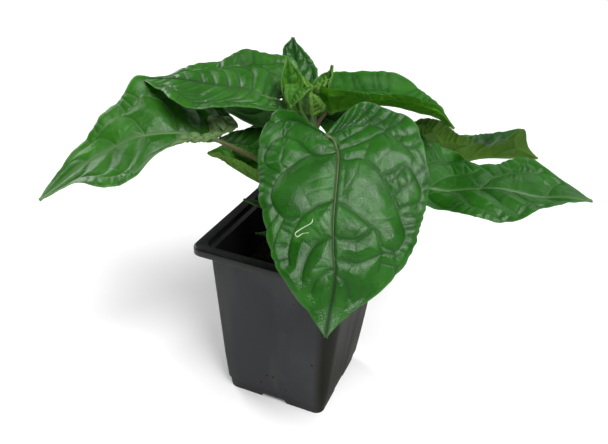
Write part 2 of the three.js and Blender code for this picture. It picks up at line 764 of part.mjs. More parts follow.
// The bud at the top: a small core with three tiny leaves rising round it.
function shootTip() {
  const top = STEM.getPoint(1);
  const foot = top.z + GAP;
  const coreRoute = route([0, 3, 8].map((z) => [top.x + BUD_LEAN * z, top.y, foot + z]));
  let tip = solidOf(tube(coreRoute, along(BUD_CORE_RADIUS), 4, 8));
  for (const { heading, lean, length, halfWidth } of BUD_LEAVES) {
    const way = radians(heading);
    const slope = Math.tan(radians(lean));
    const stand = (out, z) => [
      top.x + out * Math.cos(way),
      top.y + out * Math.sin(way),
      foot + BUD_LEAF_FOOT + z,
    ];
    const half = {
      reach: [1, 0.8 * halfWidth, halfWidth, 0.6 * halfWidth, 0],
      sweep: [0, 0],
      rise: [25, 25],
      curl: [20, 20],
      wave: [0, 1, 0],
    };
    const leaf = {
      blade: [
        stand(0.6, 0),
        stand(1.2 + (slope * length) / 2, length / 2),
        stand(1.2 + slope * length, length),
      ],
      heading,
      left: half,
      right: half,
    };
    tip = tip.add(solidOf(blade(bladeSurface(leaf), 5, 2, BLADE, 0)));
  }
  return tip;
}

const part = new THREE.Group();
part.add(meshOf("pot", pot(), POT_PLASTIC));
part.add(meshOf("soil", soil(), PEAT));

const plant = new THREE.Group();
plant.rotation.z = radians(PLANT_TURN);
plant.add(meshOf("main_stem", solidOf(stem()), GREEN_STEM));
plant.add(meshOf("shoot_tip", shootTip(), YOUNG_LEAF));
for (const [name, leaf] of Object.entries(LEAVES)) {
  plant.add(meshOf(name, leafSolid(leaf), leaf.young ? YOUNG_LEAF : LEAF));
}
part.add(plant);

export default part;
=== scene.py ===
# %% [markdown]
# # A young chilli pepper plant in a square nursery pot
#
# One green stem stands in a tapered plastic pot and carries arching heart-shaped leaves, with a
# cluster of pale young ones round the growing tip. The measured solids of every piece are loaded
# first, because they fix where each piece is. The cells below then grow finer leaves, a ribbed
# stem, loose peat and a moulded pot in the same places.

# %% Load the measured solids
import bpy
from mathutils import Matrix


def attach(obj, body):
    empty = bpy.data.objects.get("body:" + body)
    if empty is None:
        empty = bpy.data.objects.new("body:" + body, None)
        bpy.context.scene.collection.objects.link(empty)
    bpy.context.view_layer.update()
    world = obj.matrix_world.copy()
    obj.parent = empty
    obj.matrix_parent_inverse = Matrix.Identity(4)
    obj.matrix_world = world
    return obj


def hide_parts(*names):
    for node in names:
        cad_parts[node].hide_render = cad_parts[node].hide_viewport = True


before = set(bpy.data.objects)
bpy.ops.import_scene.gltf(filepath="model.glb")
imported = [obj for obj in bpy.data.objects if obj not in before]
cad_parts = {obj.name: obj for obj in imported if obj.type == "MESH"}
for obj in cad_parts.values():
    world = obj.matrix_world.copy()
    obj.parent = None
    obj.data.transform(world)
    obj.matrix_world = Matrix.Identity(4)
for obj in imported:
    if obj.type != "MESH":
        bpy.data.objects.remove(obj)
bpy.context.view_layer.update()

# %% [markdown]
# ## Where the camera stands
#
# The photograph looks down on the pot from its right front, with the camera tipped a little to
# one side. Yaw, pitch and roll keep that readable, where a matrix of nine numbers would not.

# %% The camera
import math

import bmesh
import bpy
import numpy as np
from mathutils import Matrix, Vector, noise
from mathutils.kdtree import KDTree

CAMERA_PLACE = Vector((0.1185, -0.3137, 0.2888))
CAMERA_YAW = math.radians(20.65)
CAMERA_PITCH = math.radians(28.84)
CAMERA_ROLL = math.radians(3.78)
CAMERA_LENS = 41.54
SENSOR_WIDTH = 36

camera_data = bpy.data.cameras.new("camera")
camera_data.sensor_fit = "HORIZONTAL"
camera_data.sensor_width = SENSOR_WIDTH
camera_data.lens = CAMERA_LENS
camera_data.clip_start = 0.01
camera = bpy.data.objects.new("camera", camera_data)
bpy.context.scene.collection.objects.link(camera)
bpy.context.scene.camera = camera
camera.matrix_world = (
    Matrix.Translation(CAMERA_PLACE)
    @ Matrix.Rotation(CAMERA_YAW, 4, "Z")
    @ Matrix.Rotation(math.pi / 2 - CAMERA_PITCH, 4, "X")
    @ Matrix.Rotation(CAMERA_ROLL, 4, "Z")
)
print("camera at", tuple(CAMERA_PLACE))

# %% [markdown]
# ## Finishes
#
# A leaf's skin is waxy and uneven: soft patches of lighter green, a fine net of the smallest
# veins, and a satin shine that breaks up over both. One node group makes the net, the patches
# and a fine grain from a leaf's own flat coordinates, so they follow the blade wherever it
# curls, and every leaf material places it with its own values. The bigger veins are real relief
# in the mesh, and values stored on the points let the material tint them, dull them, and pale
# the rim. On the upper faces the tint is a darker green, painted shade in the grooves the veins
# lie in, and the crowns of the cushions between them get painted light.
#
# A grown leaf has a glossy top and a matt, yellower underside. Young ones are light green, and
# the bud's are yellow-green. Three more skins are copies of the grown one with painted light: a
# lighter green top for the leaves on the left, a lighter top and a brighter, more glowing
# underside for the one at the upper right, and a lighter green, duller top for the leaves in
# shade at the back. A painted picture would show its pixels on the front leaf, so all of it is
# calculated.

# %% Small helpers for node trees
def add_node(tree, kind, inputs=None, **settings):
    """A new node with its settings, and with each named input linked or given its value."""
    made = tree.nodes.new(kind)
    for key, value in settings.items():
        setattr(made, key, value)
    for key, value in (inputs or {}).items():
        if isinstance(value, bpy.types.NodeSocket):
            tree.links.new(value, made.inputs[key])
        else:
            made.inputs[key].default_value = value
    return made


def calculate(tree, operation, *values):
    made = add_node(tree, "ShaderNodeMath", dict(enumerate(values)), operation=operation)
    return made.outputs[0]


def stretch(tree, value, low, high, to_low=0.0, to_high=1.0):
    """The value from low to high mapped onto another range, and held at its ends."""
    inputs = {0: value, 1: low, 2: high, 3: to_low, 4: to_high}
    return add_node(tree, "ShaderNodeMapRange", inputs).outputs[0]


def mix_colours(tree, amount, first, second):
    inputs = {0: amount, 6: first, 7: second}
    return add_node(tree, "ShaderNodeMix", inputs, data_type="RGBA").outputs[2]


def noise_texture(tree, place, scale, detail, **inputs):
    inputs = {"Vector": place, "Scale": scale, "Detail": detail, **inputs}
    return add_node(tree, "ShaderNodeTexNoise", inputs)


def stored(tree, name, output="Fac"):
    """A value that the mesh holds on its points."""
    return add_node(tree, "ShaderNodeAttribute", attribute_name=name).outputs[output]


def add_sockets(tree, inputs, outputs):
    """The outer sockets of a tree: inputs by name, kind and value, and outputs by name and kind."""
    for name, kind, value in inputs:
        made = tree.interface.new_socket(name, in_out="INPUT", socket_type=kind)
        if value is not None:
            made.default_value = value
    for name, kind in outputs:
        tree.interface.new_socket(name, in_out="OUTPUT", socket_type=kind)


def new_group(name, inputs, outputs):
    """An empty shader node group with the given sockets, and its two end nodes."""
    group = bpy.data.node_groups.new(name, "ShaderNodeTree")
    add_sockets(group, inputs, outputs)
    return group, group.nodes.new("NodeGroupInput"), group.nodes.new("NodeGroupOutput")


def new_material(name):
    material = bpy.data.materials.new(name)
    material.use_nodes = True
    material.node_tree.nodes.clear()
    return material, material.node_tree


def surface(tree, shader):
    add_node(tree, "ShaderNodeOutputMaterial", {"Surface": shader.outputs[0]})


def plain_surface(tree, inputs):
    """A surface that is one Principled shader with these inputs."""
    surface(tree, add_node(tree, "ShaderNodeBsdfPrincipled", inputs))


print("node helpers ready")


# %% The leaf skin group
NET_BEND = 0.12
NET_BEND_SCALE = 0.5
NET_LINE = 0.16
GRAIN_SCALE = 2.2
PATCH_RANGE = (0.32, 0.68)

leaf_skin, start, end = new_group(
    "leaf skin",
    [
        ("Place", "NodeSocketVector", None),
        ("Net Size", "NodeSocketFloat", 1.0),
        ("Patch Size", "NodeSocketFloat", 14.0),
    ],
    [("Net", "NodeSocketFloat"), ("Patches", "NodeSocketFloat"), ("Grain", "NodeSocketFloat")],
)
place = start.outputs["Place"]
shift = noise_texture(leaf_skin, place, NET_BEND_SCALE, 2.0).outputs["Color"]
bent = add_node(leaf_skin, "ShaderNodeMix", {0: NET_BEND, 4: place, 5: shift}, data_type="VECTOR")
net_scale = calculate(leaf_skin, "DIVIDE", 1.0, start.outputs["Net Size"])
net_inputs = {"Vector": bent.outputs[1], "Scale": net_scale}
net = add_node(leaf_skin, "ShaderNodeTexVoronoi", net_inputs, feature="DISTANCE_TO_EDGE")
patch_scale = calculate(leaf_skin, "DIVIDE", 1.0, start.outputs["Patch Size"])
patches = noise_texture(leaf_skin, place, patch_scale, 3.0).outputs["Fac"]
grain = noise_texture(leaf_skin, place, GRAIN_SCALE, 3.0).outputs["Fac"]
cells = stretch(leaf_skin, net.outputs["Distance"], 0.0, NET_LINE)
leaf_skin.links.new(cells, end.inputs["Net"])
leaf_skin.links.new(stretch(leaf_skin, patches, *PATCH_RANGE), end.inputs["Patches"])
leaf_skin.links.new(grain, end.inputs["Grain"])
print("group made:", leaf_skin.name)

# %% Leaf materials
CROWN_PAINTED_LIGHT = 0.25
PATCH_LIGHTNESS = 0.75
NET_DARKNESS = 0.35
NET_DEPTH = 0.75
GRAIN_RANGE = (0.3, 0.7)
SMOOTHER = 0.06
ROUGHER = 0.08
BLOOM_DULLNESS = 0.06
SCAR_DULLNESS = 0.3
GROOVE_DULLNESS = 0.4
SKIN_HEIGHT = 0.00012


def leaf_material(name, deep, light, vein, pale, rough, shine, glow, glow_share, net_relief):
    """A leaf face: two greens in patches, painted light on the crowns, veins tinted with painted shade in
    their grooves on top, a waxy shine, and light that comes through.
    """
    material, tree = new_material(name)
    near_vein, paleness, margin = stored(tree, "vein"), stored(tree, "pale"), stored(tree, "edge")
    matt, crown_light = stored(tree, "matt"), stored(tree, "crown_light")
    skin = add_node(tree, "ShaderNodeGroup", node_tree=leaf_skin)
    tree.links.new(stored(tree, "place", "Vector"), skin.inputs["Place"])
    patches = skin.outputs["Patches"]
    paler = calculate(tree, "MULTIPLY", patches, PATCH_LIGHTNESS)
    # Painted light: crowns away from the creases are coloured lighter, so the creases read as shaded.
    paler = calculate(tree, "MULTIPLY_ADD", crown_light, CROWN_PAINTED_LIGHT, paler)
    colour = mix_colours(tree, paler, deep, light)
    on_net = stretch(tree, skin.outputs["Net"], 0, 1, NET_DARKNESS, 0.0)
    colour = mix_colours(tree, on_net, colour, mix_colours(tree, NET_DEPTH, light, deep))
    colour = mix_colours(tree, matt, colour, light)
    # On the upper faces the vein colour is a darker green: painted shade in the vein grooves. Pale veins
    # and the ribs beneath keep their own colour.
    vein_colour = mix_colours(tree, paleness, vein, pale)
    colour = mix_colours(tree, near_vein, colour, vein_colour)
    colour = mix_colours(tree, margin, colour, pale)
    rough_here = stretch(tree, skin.outputs["Grain"], *GRAIN_RANGE, rough - SMOOTHER, rough + ROUGHER)
    rough_here = calculate(tree, "MULTIPLY_ADD", patches, BLOOM_DULLNESS, rough_here)
    rough_here = calculate(tree, "MULTIPLY_ADD", matt, SCAR_DULLNESS, rough_here)
    groove = calculate(tree, "MULTIPLY", near_vein, calculate(tree, "SUBTRACT", 1.0, paleness))
    rough_here = calculate(tree, "MULTIPLY_ADD", groove, GROOVE_DULLNESS, rough_here)
    height = calculate(tree, "ADD", skin.outputs["Net"], skin.outputs["Grain"])
    bump_inputs = {"Height": height, "Distance": SKIN_HEIGHT, "Strength": net_relief}
    inputs = {
        "Base Color": colour,
        "Roughness": rough_here,
        "Specular IOR Level": shine,
        "Normal": add_node(tree, "ShaderNodeBump", bump_inputs).outputs[0],
    }
    body = add_node(tree, "ShaderNodeBsdfPrincipled", inputs)
    through = add_node(tree, "ShaderNodeBsdfTranslucent", {"Color": glow})
    shares = {0: glow_share, 1: body.outputs[0], 2: through.outputs[0]}
    surface(tree, add_node(tree, "ShaderNodeMixShader", shares))
    return material


finishes = {
    "leaf_top": leaf_material(
        "leaf top", deep=(0.005, 0.060, 0.001, 1), light=(0.021, 0.146, 0.006, 1),
        vein=(0.004, 0.038, 0.002, 1), pale=(0.110, 0.260, 0.075, 1), rough=0.28, shine=0.36,
        glow=(0.10, 0.34, 0.012, 1), glow_share=0.14, net_relief=0.42,
    ),
    "leaf_under": leaf_material(
        "leaf underside", deep=(0.050, 0.135, 0.008, 1), light=(0.080, 0.185, 0.018, 1),
        vein=(0.10, 0.21, 0.035, 1), pale=(0.17, 0.28, 0.11, 1), rough=0.55, shine=0.12,
        glow=(0.16, 0.42, 0.02, 1), glow_share=0.25, net_relief=0.6,
    ),
    # Painted light: the grown leaf's top in a lighter green, for the leaves on the left.
    "bright_top": leaf_material(
        "bright leaf top", deep=(0.010, 0.085, 0.002, 1), light=(0.032, 0.185, 0.007, 1),
        vein=(0.006, 0.050, 0.002, 1), pale=(0.130, 0.280, 0.085, 1), rough=0.28, shine=0.38,
        glow=(0.12, 0.38, 0.012, 1), glow_share=0.14, net_relief=0.42,
    ),
    # Painted light for the leaf at the upper right: a lighter top, and an underside brighter and glowing
    # more where light comes through.
    "fresh_top": leaf_material(
        "fresh leaf top", deep=(0.008, 0.078, 0.002, 1), light=(0.028, 0.170, 0.006, 1),
        vein=(0.005, 0.045, 0.002, 1), pale=(0.110, 0.260, 0.075, 1), rough=0.32, shine=0.2,
        glow=(0.12, 0.38, 0.012, 1), glow_share=0.16, net_relief=0.5,
    ),
    "fresh_under": leaf_material(
        "fresh leaf underside", deep=(0.055, 0.235, 0.005, 1), light=(0.095, 0.330, 0.013, 1),
        vein=(0.11, 0.33, 0.03, 1), pale=(0.17, 0.33, 0.10, 1), rough=0.5, shine=0.12,
        glow=(0.20, 0.62, 0.015, 1), glow_share=0.4, net_relief=0.6,
    ),
    # Duller, with painted light: the grown leaf's top in a lighter green, for the shaded leaves at the
    # back.
    "dull_top": leaf_material(
        "dull leaf top", deep=(0.012, 0.090, 0.003, 1), light=(0.030, 0.160, 0.008, 1),
        vein=(0.006, 0.045, 0.003, 1), pale=(0.12, 0.10, 0.05, 1), rough=0.45, shine=0.12,
        glow=(0.12, 0.36, 0.012, 1), glow_share=0.2, net_relief=0.3,
    ),
    "young_top": leaf_material(
        "young leaf top", deep=(0.035, 0.165, 0.009, 1), light=(0.085, 0.270, 0.020, 1),
        vein=(0.022, 0.110, 0.006, 1), pale=(0.18, 0.37, 0.07, 1), rough=0.32, shine=0.28,
        glow=(0.22, 0.55, 0.03, 1), glow_share=0.2, net_relief=0.5,
    ),
    "young_under": leaf_material(
        "young leaf underside", deep=(0.070, 0.200, 0.014, 1), light=(0.12, 0.28, 0.028, 1),
        vein=(0.16, 0.33, 0.06, 1), pale=(0.20, 0.38, 0.09, 1), rough=0.5, shine=0.2,
        glow=(0.26, 0.55, 0.05, 1), glow_share=0.25, net_relief=0.6,
    ),
    "bud_top": leaf_material(
        "bud leaf top", deep=(0.085, 0.25, 0.010, 1), light=(0.20, 0.42, 0.030, 1),
        vein=(0.06, 0.20, 0.010, 1), pale=(0.26, 0.45, 0.08, 1), rough=0.32, shine=0.4,
        glow=(0.30, 0.60, 0.04, 1), glow_share=0.2, net_relief=0.5,
    ),
}
finishes["bright_under"] = finishes["leaf_under"]
finishes["dull_under"] = finishes["leaf_under"]
print("leaf finishes:", ", ".join(finishes))

# %% [markdown]
# ## The form of a leaf
#
# A pepper leaf is one thin sheet on each side of a midrib that arches out from the stem and
# droops. Bending a flat outline would lose its lobes and folds, so each half is described by a
# few values that change smoothly from base to tip: how far it reaches, how far its side veins
# sweep back, how steeply it rises and how much it curls. Three more give the waves of its
# margin: their height, their number and where the first one starts. Most of these values made
# the solids too, so the fine leaf lies where the solid leaf was.

# %% Smooth routes
TINY = 1e-12


def smooth(points, t):
    """The smooth route through the given points, or values, at t from 0 to 1."""
    points = np.asarray(points, float)
    if points.ndim == 1:
        return smooth(points[:, None], t)[..., 0]
    before = 2 * points[0] - points[1]
    after = 2 * points[-1] - points[-2]
    all_points = np.vstack([before, points, after])
    place = np.clip(np.asarray(t, float), 0, 1) * (len(points) - 1)
    step = np.minimum(np.floor(place).astype(int), len(points) - 2)
    w = (place - step)[..., None]
    p0, p1, p2, p3 = (all_points[step + k] for k in range(4))
    m1 = (p2 - p0) / 2
    m2 = (p3 - p1) / 2
    return p1 + m1 * w + (3 * (p2 - p1) - 2 * m1 - m2) * w**2 + (2 * (p1 - p2) + m1 + m2) * w**3


def unit(vectors):
    length = np.linalg.norm(vectors, axis=-1, keepdims=True)
    return vectors / np.maximum(length, TINY)


print("a quarter of the way through 0, 1 and 4:", smooth([0, 1, 4], 0.25))

# %% The surface of a leaf
STATION_POWER = 1.3
WAVE_POWER = 1.6
WAVE_ENDS = 5
TIP_HALF_WIDTH = 0.5
FLAT = 1e-4
TINY_STEP = 1e-3


def half_values(leaf, key, s, x):
    return np.where(x < 0, smooth(leaf["left"][key], s), smooth(leaf["right"][key], s))


def leaf_surface(leaf, s, x):
    """Points in mm at station s from base to tip, and x from the left margin, -1, to the right, 1."""
    s, x = np.broadcast_arrays(s, x)
    t = s**STATION_POWER
    middle = smooth(leaf["blade"], t)
    ahead = unit(smooth(leaf["blade"], t + TINY_STEP) - smooth(leaf["blade"], t - TINY_STEP))
    heading = math.radians(leaf["heading"])
    level = np.array([math.sin(heading), -math.cos(heading), 0])
    across = unit(level - (ahead @ level)[..., None] * ahead)
    up = np.cross(across, ahead)
    out = np.abs(x)
    sign = np.where(x < 0, -1, 1)
    rise = np.radians(half_values(leaf, "rise", s, x))
    curl = np.radians(half_values(leaf, "curl", s, x))
    curl = np.where(np.abs(curl) < FLAT, FLAT, curl)
    sweep = np.radians(half_values(leaf, "sweep", s, x))
    reach = np.maximum(half_values(leaf, "reach", s, x), TIP_HALF_WIDTH)
    outward = (np.sin(rise + curl * out) - np.sin(rise)) / curl
    upward = (np.cos(rise) - np.cos(rise + curl * out)) / curl
    height, waves, phase = (
        np.where(x < 0, left, right) for left, right in zip(leaf["left"]["wave"], leaf["right"]["wave"])
    )
    ends = np.minimum(1, np.minimum(WAVE_ENDS * s, WAVE_ENDS * (1 - s)))
    ripple = height * out**WAVE_POWER * np.sin(2 * np.pi * (waves * s + phase)) * ends
    lean = rise + curl * out
    sideways = reach * sign * outward * np.cos(sweep) - sign * np.sin(lean) * ripple
    upwards = reach * upward + np.cos(lean) * ripple
    backwards = reach * np.sin(sweep) * outward
    return (
        middle
        + sideways[..., None] * across
        + upwards[..., None] * up
        - backwards[..., None] * ahead
    )


def flat_place(leaf, s, x):
    """Where a point of the leaf lies when it is pressed flat: mm along the midrib, and mm aside."""
    sweep = np.radians(half_values(leaf, "sweep", s, x))
    reach = np.maximum(half_values(leaf, "reach", s, x), TIP_HALF_WIDTH)
    along = leaf["length"] * s**STATION_POWER - reach * np.sin(sweep) * np.abs(x)
    return along, reach * np.cos(sweep) * x


print("the middle station of a leaf lies at", round(0.5**STATION_POWER, 2), "of its midrib")

# %% [markdown]
# ## The leaves of this plant
#
# Each leaf has its stalk's route from the stem, its midrib's route, the way it points, and the
# values of its left and right halves. They are in millimetres and degrees, in the plant's own
# frame before it is turned in its pot. With them come a few values of its looks:
#
# - `quilt`: how strongly it swells between its veins, and `crinkle`: how crumpled each half is
# - `blush`: how red its stalk is, `rib`: the midrib's colour, and `pale`: pale side veins, from 0 to 1
# - `rim`: a pale line along the margin, `young`: whether it is a young leaf, and `finish`: its
#   skin, where that isn't the usual one for its age, some of them copies with painted light
# - `starts`: where its side veins leave the midrib and at what slant, or `routes`: their whole way
# - `cross_gap`: the space between its thin veins, and `grid`: a mesh finer than the usual one
# - `stray`: the midrib's wanderings, `scar`: a healed scratch, and `flick`: how far its tip turns up
# - `rolled`: the station up to which its base is crumpled into a pale roll
# - `folds`: stretches of margin turned over, each with its edge, the face it lies on, where it
#   begins and ends along that edge, its width and its height

# %% A leaf's values
def half(reach, sweep, rise, wave, curl=(0, 0)):
    return {"reach": reach, "sweep": sweep, "rise": rise, "wave": wave, "curl": curl}


def small_leaf(stalk, blade, heading, reach, sweep, rise, wave, curl=(0, 0), **looks):
    """A small leaf: pairs hold a left and a right value, and each half has one rise and one curl."""
    left, right = (
        half(reach[k], sweep, rise=[rise[k], rise[k]], wave=wave[k], curl=[curl[k], curl[k]])
        for k in (0, 1)
    )
    return dict(stalk=stalk, blade=blade, heading=heading, left=left, right=right, **looks)


leaves = {}

# %% The big leaves in front and on the left
MANY_STARTS = [
    (0, -62), (0, -34), (0.04, -8), (0.1, 4), (0.17, 12), (0.25, 18), (0.33, 24), (0.42, 28),
    (0.52, 33), (0.62, 37), (0.72, 41), (0.82, 45),
]
leaves["leaf_front"] = dict(
    stalk=[(0, 0, 143), (5, -14, 158), (8, -28, 167)],
    blade=[(8, -28, 167), (14, -45, 156), (15, -64, 140), (16, -79, 121), (12.5, -90, 98)],
    heading=-82,
    left=half(
        reach=[6, 21, 32, 38, 45, 44, 44, 42, 39, 36, 31, 23, 14, 6, 0],
        sweep=[45, 40, 24, 10, 0, -8, -15, -20],
        rise=[5, 5, 0, 0, 0],
        curl=[0, -5, -10, -15, -5],
        wave=[1.1, 3.3, 0.1],
    ),
    right=half(
        reach=[20, 30, 34, 36, 37, 38, 37, 36, 33, 31, 28, 23, 17, 8, 0],
        sweep=[55, 48, 24, 8, 0, -8, -15, -20],
        rise=[0, -4, -6, -5, 0],
        curl=[-10, -15, -15, -10, 0],
        wave=[1, 3.7, 0.4],
    ),
    routes={
        "left": [
            [(0.02, 0.02), (0.08, 0.2), (0.14, 0.42), (0.19, 0.57), (0.25, 0.68), (0.32, 0.75),
             (0.37, 0.88)],
            [(0.26, 0), (0.3, 0.13), (0.32, 0.27), (0.36, 0.38), (0.4, 0.47), (0.45, 0.56), (0.5, 0.66),
             (0.54, 0.73), (0.59, 0.82), (0.63, 0.84), (0.67, 0.79), (0.67, 0.68), (0.66, 0.56)],
            [(0.485, 0), (0.51, 0.08), (0.53, 0.17), (0.555, 0.28), (0.58, 0.37), (0.61, 0.48),
             (0.65, 0.54), (0.69, 0.6), (0.745, 0.68)],
            [(0.64, 0), (0.65, 0.12), (0.645, 0.25), (0.62, 0.36), (0.59, 0.4)],
            [(0.73, 0), (0.73, 0.15), (0.735, 0.3), (0.72, 0.42), (0.69, 0.6)],
            [(0.79, 0), (0.8, 0.16), (0.82, 0.33), (0.85, 0.52)],
            [(0.4, 0.47), (0.39, 0.62), (0.385, 0.76), (0.42, 0.85), (0.46, 0.91), (0.5, 0.9)],
            [(0.08, 0.2), (0.07, 0.5), (0.06, 0.93)],
            [(0.11, 0.33), (0.105, 0.6), (0.1, 0.95)],
            [(0.14, 0.42), (0.14, 0.7), (0.13, 0.96)],
            [(0.17, 0.52), (0.17, 0.75), (0.165, 0.97)],
            [(0.2, 0.6), (0.205, 0.8), (0.2, 0.97)],
            [(0.235, 0.66), (0.24, 0.82), (0.235, 0.97)],
            [(0.27, 0.7), (0.275, 0.84), (0.268, 0.97)],
            [(0.3, 0.74), (0.315, 0.87), (0.32, 0.97)],
            [(0.335, 0.78), (0.345, 0.88), (0.34, 0.97)],
            [(0.18, 0.2), (0.2, 0.35), (0.215, 0.52), (0.22, 0.63)],
            [(0.22, 0.12), (0.25, 0.27), (0.265, 0.42), (0.27, 0.55), (0.275, 0.7)],
        ],
        "right": [
            [(0.03, 0.1), (0.06, 0.35), (0.07, 0.6), (0.1, 0.78), (0.15, 0.9), (0.2, 0.95)],
            [(0.22, 0), (0.24, 0.16), (0.25, 0.3), (0.22, 0.42), (0.2, 0.52), (0.2, 0.65), (0.21, 0.75),
             (0.24, 0.84), (0.28, 0.91), (0.33, 0.92), (0.36, 0.86), (0.38, 0.76)],
            [(0.25, 0.3), (0.28, 0.4), (0.31, 0.5), (0.36, 0.62), (0.4, 0.72), (0.45, 0.8), (0.5, 0.84),
             (0.54, 0.82), (0.565, 0.74), (0.57, 0.64), (0.565, 0.5)],
            [(0.48, 0), (0.5, 0.13), (0.515, 0.24), (0.54, 0.36), (0.56, 0.46), (0.59, 0.56),
             (0.62, 0.63), (0.65, 0.7), (0.69, 0.76), (0.73, 0.8)],
            [(0.655, 0), (0.645, 0.14), (0.66, 0.3), (0.69, 0.42), (0.725, 0.52), (0.76, 0.61), (0.8, 0.7)],
            [(0.775, 0), (0.77, 0.14), (0.785, 0.3), (0.81, 0.45), (0.85, 0.58)],
        ],
    },
    stray=[0, -0.11, -0.09, -0.02, 0.02, 0.04, 0.055, 0.06, 0.03, 0.01, 0],
    scar=[
        (0.572, 0.33), (0.587, 0.355), (0.6, 0.46), (0.613, 0.565), (0.62, 0.595), (0.63, 0.57),
        (0.622, 0.49), (0.62, 0.4),
    ],
    quilt=1.25, crinkle=(0.9, 0.6), flick=3.5, blush=0.45, rib=(0.060, 0.085, 0.022), grid=0.52,
    young=False,
)
leaves["leaf_left_low"] = dict(
    stalk=[(-0.3, 0, 126), (-24, -7, 142), (-42, -11, 152), (-47, -12, 154)],
    blade=[(-47, -12, 154), (-66, -15, 158), (-88, -21, 155), (-106, -29, 145), (-126, -42, 130)],
    heading=200,
    left=half(
        reach=[5, 6, 7, 8, 9, 10, 14, 24, 26, 25, 23, 19, 9, 4, 0],
        sweep=[40, 30, 10, -15, -15, -10, -15, -20],
        rise=[60, 0, -25, -20, -10],
        curl=[40, -10, 0, 0, 0],
        wave=[1.2, 3.6, 0.2],
    ),
    right=half(
        reach=[16, 22, 28, 30, 33, 37, 31, 25, 21, 16, 13, 11, 7, 5, 0],
        sweep=[50, 10, -25, -30, -25, -25, -25, -25],
        rise=[20, 30, 30, 30, 20],
        wave=[1, 4.3, 0.6],
    ),
    quilt=1.1, crinkle=(0.5, 0.6), blush=0.8, rib=(0.13, 0.24, 0.08), pale=0.5, rim=0.5,
    rolled=0.34, folds=[("left", "top", 0.0, 0.36, 7, 1.6), ("base", "top", -0.3, 0.95, 7, 3)],
    young=False, finish="bright",
)
leaves["leaf_left_top"] = dict(
    stalk=[(0.4, 0, 157), (-9, -2, 168), (-18, -3, 174)],
    blade=[(-18, -3, 174), (-35, -2, 178), (-53, 1, 179), (-71, 5, 179), (-86, 8, 176)],
    heading=170,
    left=half(
        reach=[8, 10, 11, 13, 13, 14, 19, 22, 22, 21, 18, 12, 9, 5, 0],
        sweep=[60, 40, 20, 5, 0, -5, -10, -10],
        rise=[0, -10, -10, -10, 0],
        curl=[-10, -10, -10, -10, -10],
        wave=[1, 4.2, 0.3],
    ),
    right=half(
        reach=[8, 18, 27, 33, 34, 33, 32, 26, 20, 17, 11, 7, 3, 1, 0],
        sweep=[60, 36, 20, 5, 0, -5, -10, -10],
        rise=[20, 20, 20, 15, 0],
        wave=[1.1, 4.4, 0.1],
    ),
    quilt=1.2, crinkle=(0.6, 0.6), cross_gap=7, starts=MANY_STARTS, blush=0.1,
    rib=(0.030, 0.11, 0.013), young=False, finish="bright",
)
print("leaves so far:", len(leaves))

# %% The big leaves on the right
leaves["leaf_right_top"] = dict(
    stalk=[(0.5, 0, 154), (4, 3, 161), (8, 6, 166)],
    blade=[(8, 6, 166), (20, 9, 169.5), (34, 11, 170), (52, 10, 169.5), (66, 8, 168), (74, 5, 162)],
    heading=2,
    left=half(
        reach=[5, 16, 26, 33, 38, 40, 38, 39, 41, 38, 32, 22, 13, 6, 0],
        sweep=[50, 30, 15, 5, 0, -5, -10, -10],
        rise=[-20, -18, -20, -26, -28],
        curl=[50, 50, 60, 50, 20],
        wave=[0.9, 3.4, 0.3],
    ),
    right=half(
        reach=[11, 20, 25, 25, 19, 17, 18, 16, 15, 18, 14, 8, 4, 2, 0],
        sweep=[20, 20, 15, 0, 0, -5, -10, -10],
        rise=[60, 45, 38, 38, 30],
        curl=[0, -10, 0, 0, 0],
        wave=[0.9, 4.1, 0],
    ),
    quilt=1.2, crinkle=(0.7, 0.5), cross_gap=7, starts=MANY_STARTS, blush=1.0,
    rib=(0.030, 0.020, 0.020), rim=0.35, young=False, finish="fresh",
)
leaves["leaf_right_back"] = dict(
    stalk=[(0.3, 0, 137), (18, 15, 138), (41, 32, 134)],
    blade=[(41, 32, 134), (63, 42, 130), (86, 48, 127), (111, 53, 129), (137, 55, 128)],
    heading=12,
    left=half(
        reach=[6, 18, 24, 28, 26, 22, 12, 0],
        sweep=[50, 30, 15, 0, 0, -5, -5, -5],
        rise=[10, 10, 10, 10, 10],
        wave=[1.1, 3.8, 0.5],
    ),
    right=half(
        reach=[6, 16, 24, 30, 33, 33, 27, 23, 23, 22, 21, 24, 25, 9, 0],
        sweep=[50, 30, 15, 0, 0, -5, -5, -5],
        rise=[60, 60, 60, 60, 60],
        wave=[1, 4.4, 0.2],
    ),
    quilt=1.1, crinkle=(0.4, 0.4), blush=0.1, rib=(0.12, 0.22, 0.06),
    folds=[("right", "under", 0.61, 0.83, 9, 1.3)], young=False,
)
